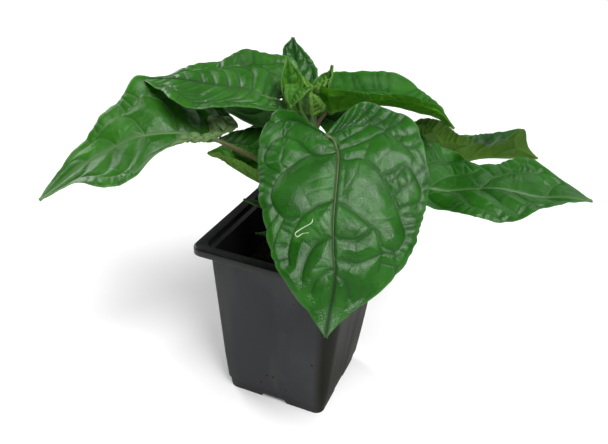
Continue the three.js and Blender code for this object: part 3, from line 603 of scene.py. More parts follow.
leaves["leaf_right_low"] = dict(
    stalk=[(0, 0, 131), (20, -4, 138), (40, -7, 137)],
    blade=[(40, -7, 137), (64, -11, 136), (90, -16, 139), (114, -21, 141), (140, -26, 141)],
    heading=-12,
    left=half(
        reach=[14, 25, 34, 38, 35, 36, 34, 23, 23.5, 31, 30, 23, 17, 11, 0],
        sweep=[50, 20, 0, -5, -12, -15, -12, -10],
        rise=[20, 23, 19, 10, 8, 13, 8, 0],
        wave=[1, 3.5, 0.4],
    ),
    right=half(
        reach=[8, 8, 9, 10, 13, 17, 19, 24, 26, 26, 23, 15, 8, 4, 0],
        sweep=[50, 30, 15, 0, -5, -10, -10, -10],
        rise=[0, 0, 0, 0, 0],
        curl=[-20, -20, -20, -20, -20],
        wave=[1.1, 4.2, 0.1],
    ),
    routes={
        "left": [
            [(0.04, 0), (0.08, 0.3), (0.14, 0.55), (0.2, 0.75), (0.27, 0.88)],
            [(0.2, 0), (0.25, 0.25), (0.3, 0.48), (0.335, 0.62), (0.37, 0.72), (0.42, 0.85)],
            [(0.33, 0), (0.36, 0.14), (0.385, 0.25), (0.42, 0.36), (0.46, 0.47), (0.5, 0.62), (0.53, 0.8)],
            [(0.565, 0), (0.58, 0.25), (0.595, 0.48), (0.63, 0.54), (0.67, 0.56), (0.72, 0.6),
             (0.765, 0.7), (0.79, 0.84)],
            [(0.64, 0.54), (0.66, 0.68), (0.685, 0.8), (0.71, 0.86), (0.745, 0.84)],
            [(0.84, 0), (0.845, 0.25), (0.85, 0.45), (0.865, 0.7), (0.88, 0.85)],
        ],
        "right": [
            [(0.1, 0), (0.14, 0.4), (0.2, 0.75), (0.26, 0.88)],
            [(0.28, 0), (0.32, 0.3), (0.36, 0.6), (0.4, 0.8), (0.44, 0.9)],
            [(0.42, 0), (0.455, 0.2), (0.49, 0.5), (0.515, 0.66), (0.55, 0.74), (0.585, 0.8), (0.62, 0.88)],
            [(0.55, 0), (0.58, 0.2), (0.61, 0.4), (0.635, 0.55), (0.67, 0.7), (0.7, 0.85)],
            [(0.69, 0), (0.715, 0.15), (0.745, 0.35), (0.775, 0.52), (0.805, 0.7), (0.83, 0.87)],
            [(0.82, 0), (0.85, 0.3), (0.88, 0.6), (0.9, 0.8)],
        ],
    },
    quilt=1.6, crinkle=(0.3, 0.3), cross_gap=6, blush=0.0, rib=(0.15, 0.29, 0.08), pale=0.6, young=False,
)
print("leaves so far:", len(leaves))

# %% The leaves behind, which other leaves hide in part
leaves["leaf_back_left"] = dict(
    stalk=[(0.4, 0, 148), (-8, 10, 154), (-17, 19, 157)],
    blade=[(-17, 19, 157), (-33, 35, 160), (-49, 51, 157), (-63, 66, 150), (-74, 79, 140)],
    heading=135,
    left=half(
        reach=[8, 16, 22, 24, 22, 16, 8, 0],
        sweep=[50, 25, 10, 0, -5, -10, -10, -10],
        rise=[-10, -5, 0, -5, -10],
        wave=[1, 3.8, 0.2],
    ),
    right=half(
        reach=[6, 16, 24, 26, 24, 17, 8, 0],
        sweep=[50, 25, 10, 0, -5, -10, -10, -10],
        rise=[-15, -25, -20, -10, -10],
        wave=[1, 4.1, 0.4],
    ),
    quilt=1.0, crinkle=(0.4, 0.4), blush=0.4, rib=(0.06, 0.10, 0.03), young=False, finish="dull",
)
leaves["leaf_back"] = dict(
    stalk=[(0.5, 0, 151), (3, 8, 154), (5, 16, 156)],
    blade=[(5, 16, 156), (9, 34, 160), (13, 52, 160), (16, 70, 155), (18, 88, 144)],
    heading=84,
    left=half(
        reach=[6, 17, 24, 26, 23, 16, 8, 0],
        sweep=[50, 30, 15, 0, -5, -10, -10, -10],
        rise=[5, 5, 5, -5, -10],
        wave=[1, 4, 0.3],
    ),
    right=half(
        reach=[10, 20, 26, 28, 24, 17, 8, 0],
        sweep=[50, 30, 15, 0, -5, -10, -10, -10],
        rise=[-10, -10, -5, -10, -10],
        wave=[1, 3.6, 0.1],
    ),
    quilt=1.0, crinkle=(0.4, 0.4), blush=0.4, rib=(0.06, 0.10, 0.03), young=False, finish="dull",
)
print("leaves so far:", len(leaves))

# %% The small leaves on the left and the young one behind the tip
SMALL_SWEEP = [40, 20, 0, 0, 0, 0, 0, 0]

leaves["leaf_left_small"] = small_leaf(
    stalk=[(-0.5, 0, 109), (-8, -1, 119), (-14, -2, 125)],
    blade=[(-14, -2, 125), (-27, -3, 131), (-41, -2, 137), (-52, -1, 142)],
    heading=180, sweep=SMALL_SWEEP, rise=(50, 60),
    reach=([4, 9, 11, 11, 10, 9, 8, 6, 0], [8, 13, 14, 14, 14, 13, 11, 8, 0]),
    wave=([0.5, 3.2, 0.2], [0.5, 2.7, 0.5]),
    # A grown leaf in the young skin: painted light, its lighter underside standing for light shining
    # through it.
    quilt=0.9, crinkle=(0.5, 0.5), blush=0.2, rib=(0.13, 0.27, 0.05), young=False, finish="young",
)
leaves["leaf_left_inner"] = small_leaf(
    stalk=[(0.2, 0, 140), (-7, 5, 146), (-14, 9, 150)],
    blade=[(-14, 9, 150), (-26, 12, 152), (-38, 14, 149), (-50, 15, 143)],
    heading=165, sweep=SMALL_SWEEP, rise=(-17, -10), curl=(-20, 0),
    reach=([4, 14, 20, 22, 21, 18, 12, 0], [3, 8, 11, 12, 12, 10, 6, 0]),
    wave=([0.6, 3.2, 0.3], [0.6, 3.7, 0.1]),
    quilt=0.8, crinkle=(0.4, 0.4), blush=0.2, rib=(0.06, 0.12, 0.03), rim=0.3, young=False, finish="dull",
)
leaves["leaf_top_young"] = small_leaf(
    stalk=[(0.6, 0, 164), (-3, 8, 166), (-6, 15, 168)],
    blade=[(-6, 15, 168), (-8, 26, 176), (-10, 34, 184), (-12, 40, 194)],
    heading=105, sweep=[50, 30, 10, 0, 0, -10, -10, -10], rise=(20, 10), curl=(10, 0),
    reach=([3, 8, 11, 11, 9, 8, 7, 0], [3, 9, 12, 11, 11, 8, 4, 0]),
    wave=([0.5, 3.3, 0.2], [0.5, 3.6, 0.5]),
    quilt=1.0, crinkle=(0.7, 0.7), blush=0.1, rib=(0.04, 0.11, 0.02), rim=0.3, young=True, finish="leaf",
)
print("leaves so far:", len(leaves))

# %% The young leaves round the tip
YOUNG_SWEEP = [20, 0, 0, 0, 0, 0, 0, 0]
TIP_LOOKS = dict(quilt=1.0, crinkle=(1.2, 1.2), blush=0.0, rib=(0.12, 0.27, 0.04), young=True)

leaves["leaf_tip_left"] = small_leaf(
    stalk=[(0.6, 0, 165), (-3, -1, 166), (-6, -2, 168)],
    blade=[(-6, -2, 168), (-10, -3, 178), (-12, -2, 187), (-13, 0, 195)],
    heading=125, sweep=YOUNG_SWEEP, rise=(25, 25),
    reach=([1, 4, 6, 7, 7, 6, 3, 0], [1, 3, 5, 6, 7, 6, 3, 0]),
    wave=([0.3, 2.5, 0.2], [0.3, 2.2, 0.5]),
    rim=0.3, **TIP_LOOKS,
)
leaves["leaf_tip_heart"] = small_leaf(
    stalk=[(0.6, 0, 160), (-5, -5, 171), (-6, -8, 181)],
    blade=[(-6, -8, 181), (-8, -12, 180), (-10, -15, 174)],
    heading=-120, sweep=SMALL_SWEEP, rise=(20, 20),
    reach=([3, 7, 8, 8, 7, 5, 3, 0], [3, 6, 7, 7, 6, 5, 3, 0]),
    wave=([0.3, 2.5, 0.1], [0.3, 2.3, 0.4]),
    rim=0.3, **TIP_LOOKS,
)
leaves["leaf_tip_front"] = small_leaf(
    stalk=[(0.6, 0, 162), (1, -3, 165), (1, -4, 168)],
    blade=[(1, -4, 168), (0, -7, 174), (-1, -9, 181)],
    heading=-95, sweep=YOUNG_SWEEP, rise=(20, 20),
    reach=([2, 5, 7, 7, 6, 5, 3, 0], [2, 3, 3, 3, 3, 2, 1, 0]),
    wave=([0.3, 2.5, 0.3], [0.3, 2.1, 0.2]),
    rim=0.25, **TIP_LOOKS,
)
leaves["leaf_tip_right"] = small_leaf(
    stalk=[(0.6, 0, 161), (3, 2, 168), (4, 4, 175)],
    blade=[(4, 4, 175), (6, 6, 180), (8, 8, 184), (9, 10, 189)],
    heading=45, sweep=YOUNG_SWEEP, rise=(30, 30),
    reach=([2, 5, 6, 6, 5, 4, 1, 0], [2, 5, 6, 6, 5, 3, 1, 0]),
    wave=([0.3, 2.5, 0.3], [0.3, 2.2, 0.1]),
    rim=0.25, **TIP_LOOKS,
)
print("leaves so far:", len(leaves))

# %% The two tiny leaves low on the stem
LOW_LOOKS = dict(
    quilt=0.2, crinkle=(0.1, 0.1), blush=0.2, rib=(0.06, 0.12, 0.03), young=True, finish="leaf"
)

leaves["leaf_low_upper"] = small_leaf(
    stalk=[(-0.6, 0, 92), (-9, 1, 100), (-14, 1, 106)],
    blade=[(-14, 1, 106), (-21, 1, 111), (-28, 0, 114), (-33, 0, 116)],
    heading=182, sweep=YOUNG_SWEEP, rise=(10, 10),
    reach=([1, 3, 4, 4, 3, 3, 1, 0], [1, 3, 4, 4, 3, 3, 1, 0]),
    wave=([0.3, 2.5, 0.3], [0.3, 2.2, 0.1]),
    **LOW_LOOKS,
)
leaves["leaf_low_lower"] = small_leaf(
    stalk=[(-0.2, 0, 83), (-8, -3, 91), (-12, -5, 95)],
    blade=[(-12, -5, 95), (-17, -7, 98), (-22, -9, 100), (-25, -10, 101)],
    heading=200, sweep=YOUNG_SWEEP, rise=(10, 10),
    reach=([1, 3, 3, 3, 3, 2, 1, 0], [1, 3, 3, 3, 3, 2, 1, 0]),
    wave=([0.2, 2.5, 0.3], [0.2, 2.2, 0.1]),
    **LOW_LOOKS,
)
print("leaves so far:", len(leaves))

# %% [markdown]
# ## Side veins
#
# On the real leaf each side vein leaves the midrib, runs outward, then bends along the margin
# and ends on the next vein, so that they form a chain of loops. Thin cross veins run from each
# vein straight to whatever they meet. Drawing them by hand on every leaf would be endless, so
# they grow by a rule on the flat leaf: a side vein starts at a share of the midrib with a
# slant, and the margin turns it as it comes near. The front leaf and the low one on the right
# face the viewer, so their own side veins are given as routes instead.

# %% One side vein by rule
GROWN_LENGTH = 75
MARGIN_STEPS = 160
GROWTH_STEP = 0.8
TURN_START = 0.25
TURN_END = 0.86
CURL_START = 26
CURL_LENGTH = 32
MARGIN_PUSH = 6
SHORT_GAP = 0.1
NO_GAP = 1e-6
JOIN = 1.3
JOIN_OUTNESS = 0.4
SETTLED_STEPS = 6
NEAR_MIDRIB = 1


def fineness(leaf):
    """How much finer the veins of a small leaf lie than those of a grown one."""
    return min(1.0, leaf["length"] / GROWN_LENGTH)


def flat_margin(leaf, side):
    """The margin of a flat half at a grown leaf's size, and the way it runs toward the tip."""
    s = np.linspace(0, 1, MARGIN_STEPS)
    edge = np.column_stack(flat_place(leaf, s, np.full_like(s, -1 if side == "left" else 1)))
    return edge / fineness(leaf), unit(np.gradient(edge, axis=0))


def grow_vein(start, slant, sign, edge, run, limit, others):
    """A side vein as flat points, from the midrib until it meets another vein or the limit."""
    first = np.array([math.sin(slant), sign * math.cos(slant)])
    route = [np.array([start, 0.0])]
    for step in range(int(limit / GROWTH_STEP)):
        here = route[-1]
        gaps = np.linalg.norm(edge - here, axis=1)
        nearest = gaps.argmin()
        outness = abs(here[1]) / (abs(here[1]) + gaps[nearest] + NO_GAP)
        turn = np.clip((outness - TURN_START) / (TURN_END - TURN_START), 0, 1)
        turn = turn * turn * (3 - 2 * turn)
        inward = (here - edge[nearest]) / max(gaps[nearest], SHORT_GAP)
        curl = max(0, (step * GROWTH_STEP - CURL_START) / CURL_LENGTH)
        push = max(0, outness - TURN_END) * MARGIN_PUSH + turn * curl
        way = (1 - turn) * first + turn * run[nearest] + push * inward
        route.append(here + GROWTH_STEP * way / np.linalg.norm(way))
        if outness > JOIN_OUTNESS and others is not None:
            reach = np.linalg.norm(others - route[-1], axis=1)
            if reach.min() < JOIN:
                route.append(others[reach.argmin()])
                break
        if len(route) > SETTLED_STEPS and abs(route[-1][1]) < NEAR_MIDRIB:
            break
    return np.array(route)


print("a side vein grows in steps of", GROWTH_STEP, "mm")

# %% The side veins of one half
USUAL_STARTS = [(0, -62), (0, -30), (0.1, 2), (0.24, 18), (0.41, 28), (0.58, 35), (0.74, 42)]
START_NUDGE = 0.012
LOWEST_NUDGED = 0.05
SLANT_NUDGE = 3
LONGEST = 0.6
FEWEST_STEPS = 4


def rib_place(leaf, s):
    """How far the midrib strays from the middle, as a share of the reach, at station s."""
    return smooth(leaf.get("stray", [0, 0]), s)


def given_vein(leaf, sign, stops):
    """A side vein as flat points, through stops given as a station and a share of the reach."""
    s, x = np.array(stops, float).T
    place = np.where(x == 0, rib_place(leaf, s), sign * x)
    corners = np.column_stack(flat_place(leaf, s, place))
    length = np.linalg.norm(np.diff(corners, axis=0), axis=1).sum()
    return smooth(corners, np.linspace(0, 1, max(FEWEST_STEPS, round(length / GROWTH_STEP))))


def side_veins(leaf, side, chance):
    """The side veins of one half: the given routes, or ones grown from their starts."""
    sign = -1 if side == "left" else 1
    if "routes" in leaf:
        return [given_vein(leaf, sign, stops) for stops in leaf["routes"][side]]
    edge, run = flat_margin(leaf, side)
    length = leaf["length"] / fineness(leaf)
    veins = []
    for share, slant in reversed(leaf.get("starts", USUAL_STARTS)):
        nudge = chance.uniform(-START_NUDGE, START_NUDGE) * (share > LOWEST_NUDGED)
        others = np.vstack([v[len(v) // 3:] for v in veins]) if veins else None
        start = (share + nudge) * length
        slant = math.radians(slant + chance.uniform(-SLANT_NUDGE, SLANT_NUDGE))
        veins.append(grow_vein(start, slant, sign, edge, run, LONGEST * length, others))
    return veins[::-1]


print("side veins of a half, where no others are given:", len(USUAL_STARTS))

# %% The cross veins of one half
CROSS_GAP = 8
EDGE_GAP = 3.6
FIRST_GAP = (0.3, 0.8)
GAP_SPREAD = (0.7, 1.5)
CROSS_SPAN = (0.04, 0.93)
CROSS_BEND = 1
CROSS_LEAN = 9
RIB_CROSS_LEAN = 12
CROSS_STRENGTH = 0.26
EDGE_STRENGTH = 0.8
STRENGTH_SPREAD = (0.7, 1.3)
OUTER_SHARE = 0.5
LONGEST_CROSS = 26
SHORTEST_CROSS = 2.5
MEET = 0.9
MEET_MIDRIB = 0.3


def cross_vein(start, way, bend, sign, others, edge):
    """A thin vein from a point on another one, nearly straight until it meets a vein or the margin."""
    route = [start]
    for step in range(int(LONGEST_CROSS / GROWTH_STEP)):
        way = way + bend * GROWTH_STEP * np.array([-way[1], way[0]])
        way = way / np.linalg.norm(way)
        route.append(route[-1] + GROWTH_STEP * way)
        here = route[-1]
        at_midrib = sign * here[1] < MEET_MIDRIB
        at_margin = np.linalg.norm(edge - here, axis=1).min() < MEET
        if at_midrib or at_margin:
            return np.array(route)
        if step * GROWTH_STEP > SHORTEST_CROSS and np.linalg.norm(others - here, axis=1).min() < MEET:
            return np.array(route)
    return None


def cross_veins(leaf, side, sides, chance):
    """The thin veins of one half with their strength, close together where they run outward."""
    sign = -1 if side == "left" else 1
    edge, _ = flat_margin(leaf, side)
    length = leaf["length"] / fineness(leaf)
    steps = np.arange(CROSS_SPAN[0] * length, CROSS_SPAN[1] * length, GROWTH_STEP)
    midrib = np.column_stack([steps, np.zeros_like(steps)])
    others = np.vstack(sides + [midrib])
    wide = leaf.get("cross_gap", CROSS_GAP)
    made = []
    for line in sides + [midrib]:
        ahead = unit(np.gradient(line, axis=0))
        flanks = (sign,) if line is midrib else (1, -1)
        for flank in flanks:
            place = wide * chance.uniform(*FIRST_GAP)
            while place < GROWTH_STEP * (len(line) - 3):
                k = int(place / GROWTH_STEP)
                aside = flank * np.array([-ahead[k][1], ahead[k][0]])
                to_edge = np.linalg.norm(edge - line[k], axis=1).min()
                outness = abs(line[k][1]) / (abs(line[k][1]) + to_edge)
                outward = outness > OUTER_SHARE and sign * aside[1] > 0
                gap, strength = (EDGE_GAP, EDGE_STRENGTH) if outward else (wide, CROSS_STRENGTH)
                lean = chance.uniform(-CROSS_LEAN, CROSS_LEAN) + (RIB_CROSS_LEAN if line is midrib else 0)
                lean = math.radians(lean)
                way = aside * math.cos(lean) + ahead[k] * math.sin(lean)
                bend = math.radians(chance.uniform(-CROSS_BEND, CROSS_BEND))
                route = cross_vein(line[k], way, bend, sign, others, edge)
                if route is not None and np.linalg.norm(route[-1] - route[0]) > SHORTEST_CROSS:
                    made.append((route, strength * chance.uniform(*STRENGTH_SPREAD)))
                    others = np.vstack([others, route[2:]])
                place += gap * chance.uniform(*GAP_SPREAD)
    return made


print("cross veins", CROSS_GAP, "mm apart, and", EDGE_GAP, "mm near the margin")

# %% The network of one leaf
VEIN_END = 0.6


def vein_network(leaf, seed):
    """The veins of a leaf as flat routes, each with its strength: side veins, then cross veins."""
    chance = np.random.default_rng(seed)
    sides, crosses = [], [(np.zeros((2, 2)), np.zeros(2))]
    size = fineness(leaf)
    for side in ("left", "right"):
        main = side_veins(leaf, side, chance)
        sides += [(v * size, np.linspace(1, VEIN_END, len(v))) for v in main]
        for route, strength in cross_veins(leaf, side, main, chance):
            crosses.append((route * size, np.full(len(route), strength)))
    return sides, crosses


def distance_to(veins, places):
    """From each flat place to the nearest vein: the distance in mm, and that vein's strength."""
    points = np.vstack([route for route, _ in veins])
    strengths = np.concatenate([strength for _, strength in veins])
    tree = KDTree(len(points))
    for k, (along, aside) in enumerate(points):
        tree.insert((along, aside, 0), k)
    tree.balance()
    near = [tree.find((along, aside, 0)) for along, aside in places]
    return np.array([n[2] for n in near]), strengths[[n[1] for n in near]]


print("vein rules ready")

# %% [markdown]
# ## Relief
#
# Between its veins the blade swells like a quilt, and the veins lie in narrow furrows on top
# and stand out as ribs beneath. Distance to the nearest vein gives both: a broad swelling away
# from the side veins, a crisp crease at every vein with a cushion on each flank, and a rib
# beneath. Slow noise makes the sheet uneven, a finer one crumples its base, where the real
# leaf stayed folded longest, and the margin bulges between its thin veins. One leaf's base is
# crumpled into a roll, and the front leaf's tip turns up.

# %% Noise and distances on the flat leaf
def noise_over(places, length, seed):
    scaled = np.asarray(places) / length
    return np.array([noise.noise((a, b, seed)) for a, b in scaled])


def line_distance(veins, places):
    """Like distance_to, but measured to four points on every step of a vein, for even furrows."""
    finer = []
    for route, strength in veins:
        w = np.linspace(0, 1, 4 * len(route))
        finer.append((smooth(route, w), smooth(strength, w)))
    return distance_to(finer, places)


print("distances to veins ready")

# %% A base crumpled into a roll
ROLL_END_STEEPNESS = 6
ROLL_SIDE_STEEPNESS = 4
ROLLED_LOBE = 0.12
LOBE_STEEPNESS = 1.6


def near_roll(leaf, s, x):
    """How much the base of the leaf is crumpled into a pale roll, from 0 to 1."""
    if "rolled" not in leaf:
        return np.zeros(s.shape)
    near_half = np.clip(ROLL_END_STEEPNESS * (leaf["rolled"] - s) / leaf["rolled"], 0, 1)
    near_half = near_half * np.clip(-ROLL_SIDE_STEEPNESS * x, 0, 1)
    far_half = np.clip(LOBE_STEEPNESS * (1 - s / ROLLED_LOBE), 0, 1) * (x > 0)
    far_half = far_half * np.clip(ROLL_SIDE_STEEPNESS * (1 - x), 0, 1)
    return np.maximum(near_half, far_half)


print("the far lobe is rolled up to station", ROLLED_LOBE)

# %% The relief of one leaf
QUILT = 0.95
QUILT_WIDTH = 5.5
QUILT_MEAN = 0.45
CUSHION = 0.48
CUSHION_WIDTH = 0.95
CROWN_FALL = 1.6
FURROW = 0.1
FURROW_WIDTH = 0.42
MIDRIB_WIDENING = 1.6
UNEVEN = 1.6
UNEVEN_LENGTH = 22
CRUMPLE_LENGTH = 5.5
CRUMPLE_SEED = 7
CRUMPLED_BASE = 0.32
CRUMPLE_ELSEWHERE = 0.25
CRUMPLE_AT_EDGE = 0.5
ROLL = 1.9
ROLL_LENGTH = 2.6
ROLL_SEED = 3
FLICK_START = 0.88
EDGE_FADE = 3
BASE_FADE = 12
TIP_FADE = 7
SCALLOP = 0.6
SCALLOP_WIDTH = 5
SCALLOP_REACH = 3
SIDE_TINT_WIDTH = 0.31
CROSS_TINT_WIDTH = 0.3
RIB_TINT_WIDTH = 1.1


def relief(leaf, s, x, seed):
    """For each point of the sheet: lift in mm, vein tint, furrow, scallop, and where the crowns between
    veins get painted light.
    """
    along, aside = (part.ravel() for part in flat_place(leaf, s, x))
    places = np.column_stack([along, aside])
    sides, crosses = vein_network(leaf, seed)
    near_side, side_strength = line_distance(sides, places)
    near_cross, cross_strength = line_distance(crosses, places)
    size = leaf["quilt"]
    rib_line = np.linspace(0, 1, MARGIN_STEPS)
    rib_aside = flat_place(leaf, rib_line, rib_place(leaf, rib_line))[1]
    rib_run = leaf["length"] * rib_line**STATION_POWER
    midrib = np.abs(aside - np.interp(along, rib_run, rib_aside))
    near_main = np.minimum(near_side, midrib) / fineness(leaf)
    swelling = QUILT * size * (1 - np.exp(-((near_main / QUILT_WIDTH) ** 2)))
    crease = np.maximum(
        np.exp(-near_main / CUSHION_WIDTH),
        cross_strength * np.exp(-near_cross / fineness(leaf) / CUSHION_WIDTH),
    )
    furrow = side_strength * np.exp(-((near_side / FURROW_WIDTH) ** 2))
    furrow = np.maximum(furrow, cross_strength * np.exp(-((near_cross / FURROW_WIDTH) ** 2)))
    furrow = np.maximum(furrow, np.exp(-((midrib / (MIDRIB_WIDENING * FURROW_WIDTH)) ** 2)))
    uneven = UNEVEN * size * noise_over(places, UNEVEN_LENGTH, seed)
    at_base = np.exp(-((s.ravel() / CRUMPLED_BASE) ** 2))
    crinkle = np.where(x.ravel() < 0, *leaf["crinkle"])
    crumple_length = CRUMPLE_LENGTH * math.sqrt(fineness(leaf))
    crumple = crinkle * noise_over(places, crumple_length, seed + CRUMPLE_SEED)
    crumple = crumple * (CRUMPLE_ELSEWHERE + at_base)
    reach = np.maximum(half_values(leaf, "reach", s, x), TIP_HALF_WIDTH).ravel()
    to_edge = (1 - np.abs(x).ravel()) * reach
    ends = np.clip(BASE_FADE * s.ravel(), 0, 1) * np.clip(TIP_FADE * (1 - s.ravel()), 0, 1)
    fade = np.clip(to_edge / EDGE_FADE, 0, 1) * ends
    lift = (swelling - QUILT_MEAN * QUILT * size + uneven) * fade - CUSHION * size * crease * ends
    lift += crumple * (CRUMPLE_AT_EDGE + (1 - CRUMPLE_AT_EDGE) * fade) - FURROW * furrow * size
    tint = np.maximum(
        side_strength * np.exp(-((near_side / SIDE_TINT_WIDTH) ** 2)),
        cross_strength * np.exp(-((near_cross / CROSS_TINT_WIDTH) ** 2)),
    )
    tint = np.maximum(tint, np.exp(-((midrib / RIB_TINT_WIDTH) ** 2)))
    rolled = near_roll(leaf, s, x).ravel()
    lift += ROLL * rolled * noise_over(places, ROLL_LENGTH, seed + ROLL_SEED)
    at_tip = np.clip((s.ravel() - FLICK_START) / (1 - FLICK_START), 0, 1)
    lift += leaf.get("flick", 0) * at_tip**2
    bulge = np.minimum(near_cross, SCALLOP_REACH) / SCALLOP_REACH - 0.5
    scallop = SCALLOP * size * bulge * np.clip(1 - to_edge / SCALLOP_WIDTH, 0, 1)
    # The crowns away from the creases, where the material paints light.
    crown_light = 1 - np.clip(CROWN_FALL * crease, 0, 1)
    return tuple(part.reshape(s.shape) for part in (lift, tint, furrow, scallop, crown_light))


print("relief in mm: swelling", QUILT, "cushion", CUSHION, "furrow", FURROW)

# %% [markdown]
# ## From sheet to leaf
#
# A grid of points on the lifted sheet is moved half the sheet's thickness along its normal for
# the upper face and the other way for the underside, and a narrow rim joins them into a closed
# sheet. The stalk is a tube with a channel along its top. It runs on as the midrib, half sunk
# in the sheet, and gets thinner all the way to the tip. Some leaves have something of their
# own. The front one was scratched and has a pale callus there. Two have stretches of margin
# that turned over and dried, so each is a second, rippled sheet lying on the blade.

# %% Grid and tube helpers
MM = 0.001
PLANT_TURN = CAMERA_YAW
CHANNEL_WIDTH = 0.5


def grid_faces(rows, columns):
    """Quads over a grid of points, facing the side from which rows run up and columns right."""
    quads = []
    for i in range(rows - 1):
        for j in range(columns - 1):
            a = i * columns + j
            quads.append((a, a + 1, a + columns + 1, a + columns))
    return quads


def tube(route, radii, sides, side_way, channel=0.0):
    """Rings round a route, closed at both ends, with an optional channel along the top."""
    route = np.asarray(route, float)
    ahead = unit(np.gradient(route, axis=0))
    across = unit(side_way - (ahead * side_way).sum(-1, keepdims=True) * ahead)
    up = np.cross(across, ahead)
    angles = np.linspace(0, 2 * np.pi, sides, endpoint=False)
    from_top = np.angle(np.exp(1j * (angles - np.pi / 2)))
    hollow = 1 - channel * np.exp(-((from_top / CHANNEL_WIDTH) ** 2))
    ring = np.column_stack([np.cos(angles) * hollow, np.sin(angles) * hollow])
    points = (
        route[:, None]
        + np.asarray(radii)[:, None, None]
        * (ring[None, :, :1] * across[:, None] + ring[None, :, 1:] * up[:, None])
    )
    faces = []
    for i in range(len(route) - 1):
        for j in range(sides):
            a = i * sides + j
            b = i * sides + (j + 1) % sides
            faces.append((a, a + sides, b + sides, b))
    faces.append(tuple(range(sides)))
    faces.append(tuple(reversed(range((len(route) - 1) * sides, len(route) * sides))))
    return points.reshape(-1, 3), faces


def turned(points):
    """Points in mm in the plant's frame, as points in metres in the pot's frame."""
    c, s = math.cos(PLANT_TURN), math.sin(PLANT_TURN)
    x, y, z = np.asarray(points, float).T
    return np.column_stack([c * x - s * y, s * x + c * y, z]) * MM


print("the plant is turned", round(math.degrees(PLANT_TURN), 2), "degrees in its pot")

# %% One mesh from several shells
POINT_VALUES = ("vein", "rib", "crown_light", "pale", "edge", "matt")


def build_piece(name, shells, materials, turn=True):
    """A piece from shells of points, faces, material numbers and point values, smooth-shaded."""
    points, faces, slots = [], [], []
    values = {key: [] for key in (*POINT_VALUES, "place")}
    for shell in shells:
        first = len(points)
        points += list(shell["points"])
        faces += [tuple(first + k for k in face) for face in shell["faces"]]
        slots += list(shell["slots"])
        count = len(shell["points"])
        for key, known in values.items():
            empty = (0.0, 0.0, 0.0) if key == "place" else 0.0
            given = shell.get(key)
            known += list(given) if given is not None else [empty] * count
    mesh = bpy.data.meshes.new(name)
    made = turned(points) if turn else np.asarray(points) * MM
    mesh.from_pydata(made.tolist(), [], faces)
    mesh.polygons.foreach_set("material_index", slots)
    mesh.polygons.foreach_set("use_smooth", [True] * len(faces))
    for material in materials:
        mesh.materials.append(material)
    for key in POINT_VALUES:
        mesh.attributes.new(key, "FLOAT", "POINT").data.foreach_set("value", values[key])
    place = mesh.attributes.new("place", "FLOAT_VECTOR", "POINT")
    place.data.foreach_set("vector", np.asarray(values["place"], float).ravel())
    mesh.validate()
    piece = bpy.data.objects.new(name, mesh)
    bpy.context.scene.collection.objects.link(piece)
    return piece


print("values held on points:", ", ".join(POINT_VALUES))

# %% Places on the sheet
COLUMN_POWER = 1.12
LAST_CELL = 1.001


def on_sheet(sheet, s, x):
    """Points of a grid of points at station s and place x, between its rows and columns."""
    rows, columns = sheet.shape[:2]
    across = np.sign(x) * np.abs(x) ** (1 / COLUMN_POWER)
    i = np.clip(np.asarray(s) * (rows - 1), 0, rows - LAST_CELL)
    j = np.clip((across + 1) / 2 * (columns - 1), 0, columns - LAST_CELL)
    a, b = i.astype(int), j.astype(int)
    u, v = (i - a)[..., None], (j - b)[..., None]
    near = sheet[a, b] * (1 - v) + sheet[a, b + 1] * v
    far = sheet[a + 1, b] * (1 - v) + sheet[a + 1, b + 1] * v
    return near * (1 - u) + far * u


# %% A healed scratch
SCAR_RADIUS = 0.27
SCAR_STEPS = 60
SCAR_SIDES = 8
SCAR_THINNING = 0.6
SCAR_LUMPS = 0.25
SCAR_LUMP_TURNS = 19
SCAR_DULL = 2.4


def near_scar(leaf, s, x):
    """How dull the leaf is round its scar, from 0 to 1."""
    if "scar" not in leaf:
        return np.zeros(s.shape)
    flat = np.stack(flat_place(leaf, s, x), axis=-1)
    stations, shares = np.array(leaf["scar"]).T
    stops = np.column_stack(flat_place(leaf, stations, shares))
    gaps = np.min([np.linalg.norm(flat - stop, axis=-1) for stop in stops], axis=0)
    return np.exp(-((gaps / SCAR_DULL) ** 4))


def scar_shell(leaf, top):
    """A thin pale callus on the upper face, half sunk in it."""
    stations, shares = np.array(leaf["scar"]).T
    w = np.linspace(0, 1, SCAR_STEPS)
    route = on_sheet(top, smooth(stations, w), smooth(shares, w))
    thinning = 1 - SCAR_THINNING * np.abs(2 * w - 1) ** 3
    radii = SCAR_RADIUS * thinning * (1 + SCAR_LUMPS * np.sin(SCAR_LUMP_TURNS * w))
    points, faces = tube(route, radii, SCAR_SIDES, np.array([0.0, 0.3, 1.0]))
    return {"points": points, "faces": faces, "slots": [3] * len(faces)}


print("callus radius in mm:", SCAR_RADIUS)

# %% A closed sheet, and a margin turned over
SHEET = 0.4
FOLD_ROWS = 70
FOLD_COLUMNS = 16
FOLD_LEAN = 1.3
FOLD_FULLNESS = 0.6
FOLD_ARCH = 2.6
FOLD_WAVES = 13
FOLD_WIDTH_WAVE = 0.12
FOLD_RISE_WAVES = 22.1
FOLD_RISE_WAVE = 0.5
FOLD_WAVE_SHIFT = 2
FOLD_PALENESS = 0.9


def closed_sheet(top, under):
    """A closed sheet between two grids of points, with the top as material 0 and the under as 1."""
    rows, columns = top.shape[:2]
    faces = grid_faces(rows, columns)
    count = rows * columns
    back = [tuple(count + k for k in reversed(face)) for face in faces]
    rim = list(range(columns))
    rim += [i * columns + columns - 1 for i in range(1, rows)]
    rim += [(rows - 1) * columns + k for k in range(columns - 2, -1, -1)]
    rim += [i * columns for i in range(rows - 2, 0, -1)]
    side = [(b, a, count + a, count + b) for a, b in zip(rim, rim[1:] + rim[:1])]
    return {
        "points": np.vstack([top.reshape(-1, 3), under.reshape(-1, 3)]),
        "faces": faces + back + side,
        "slots": [0] * len(faces) + [1] * len(back) + [0] * len(side),
    }


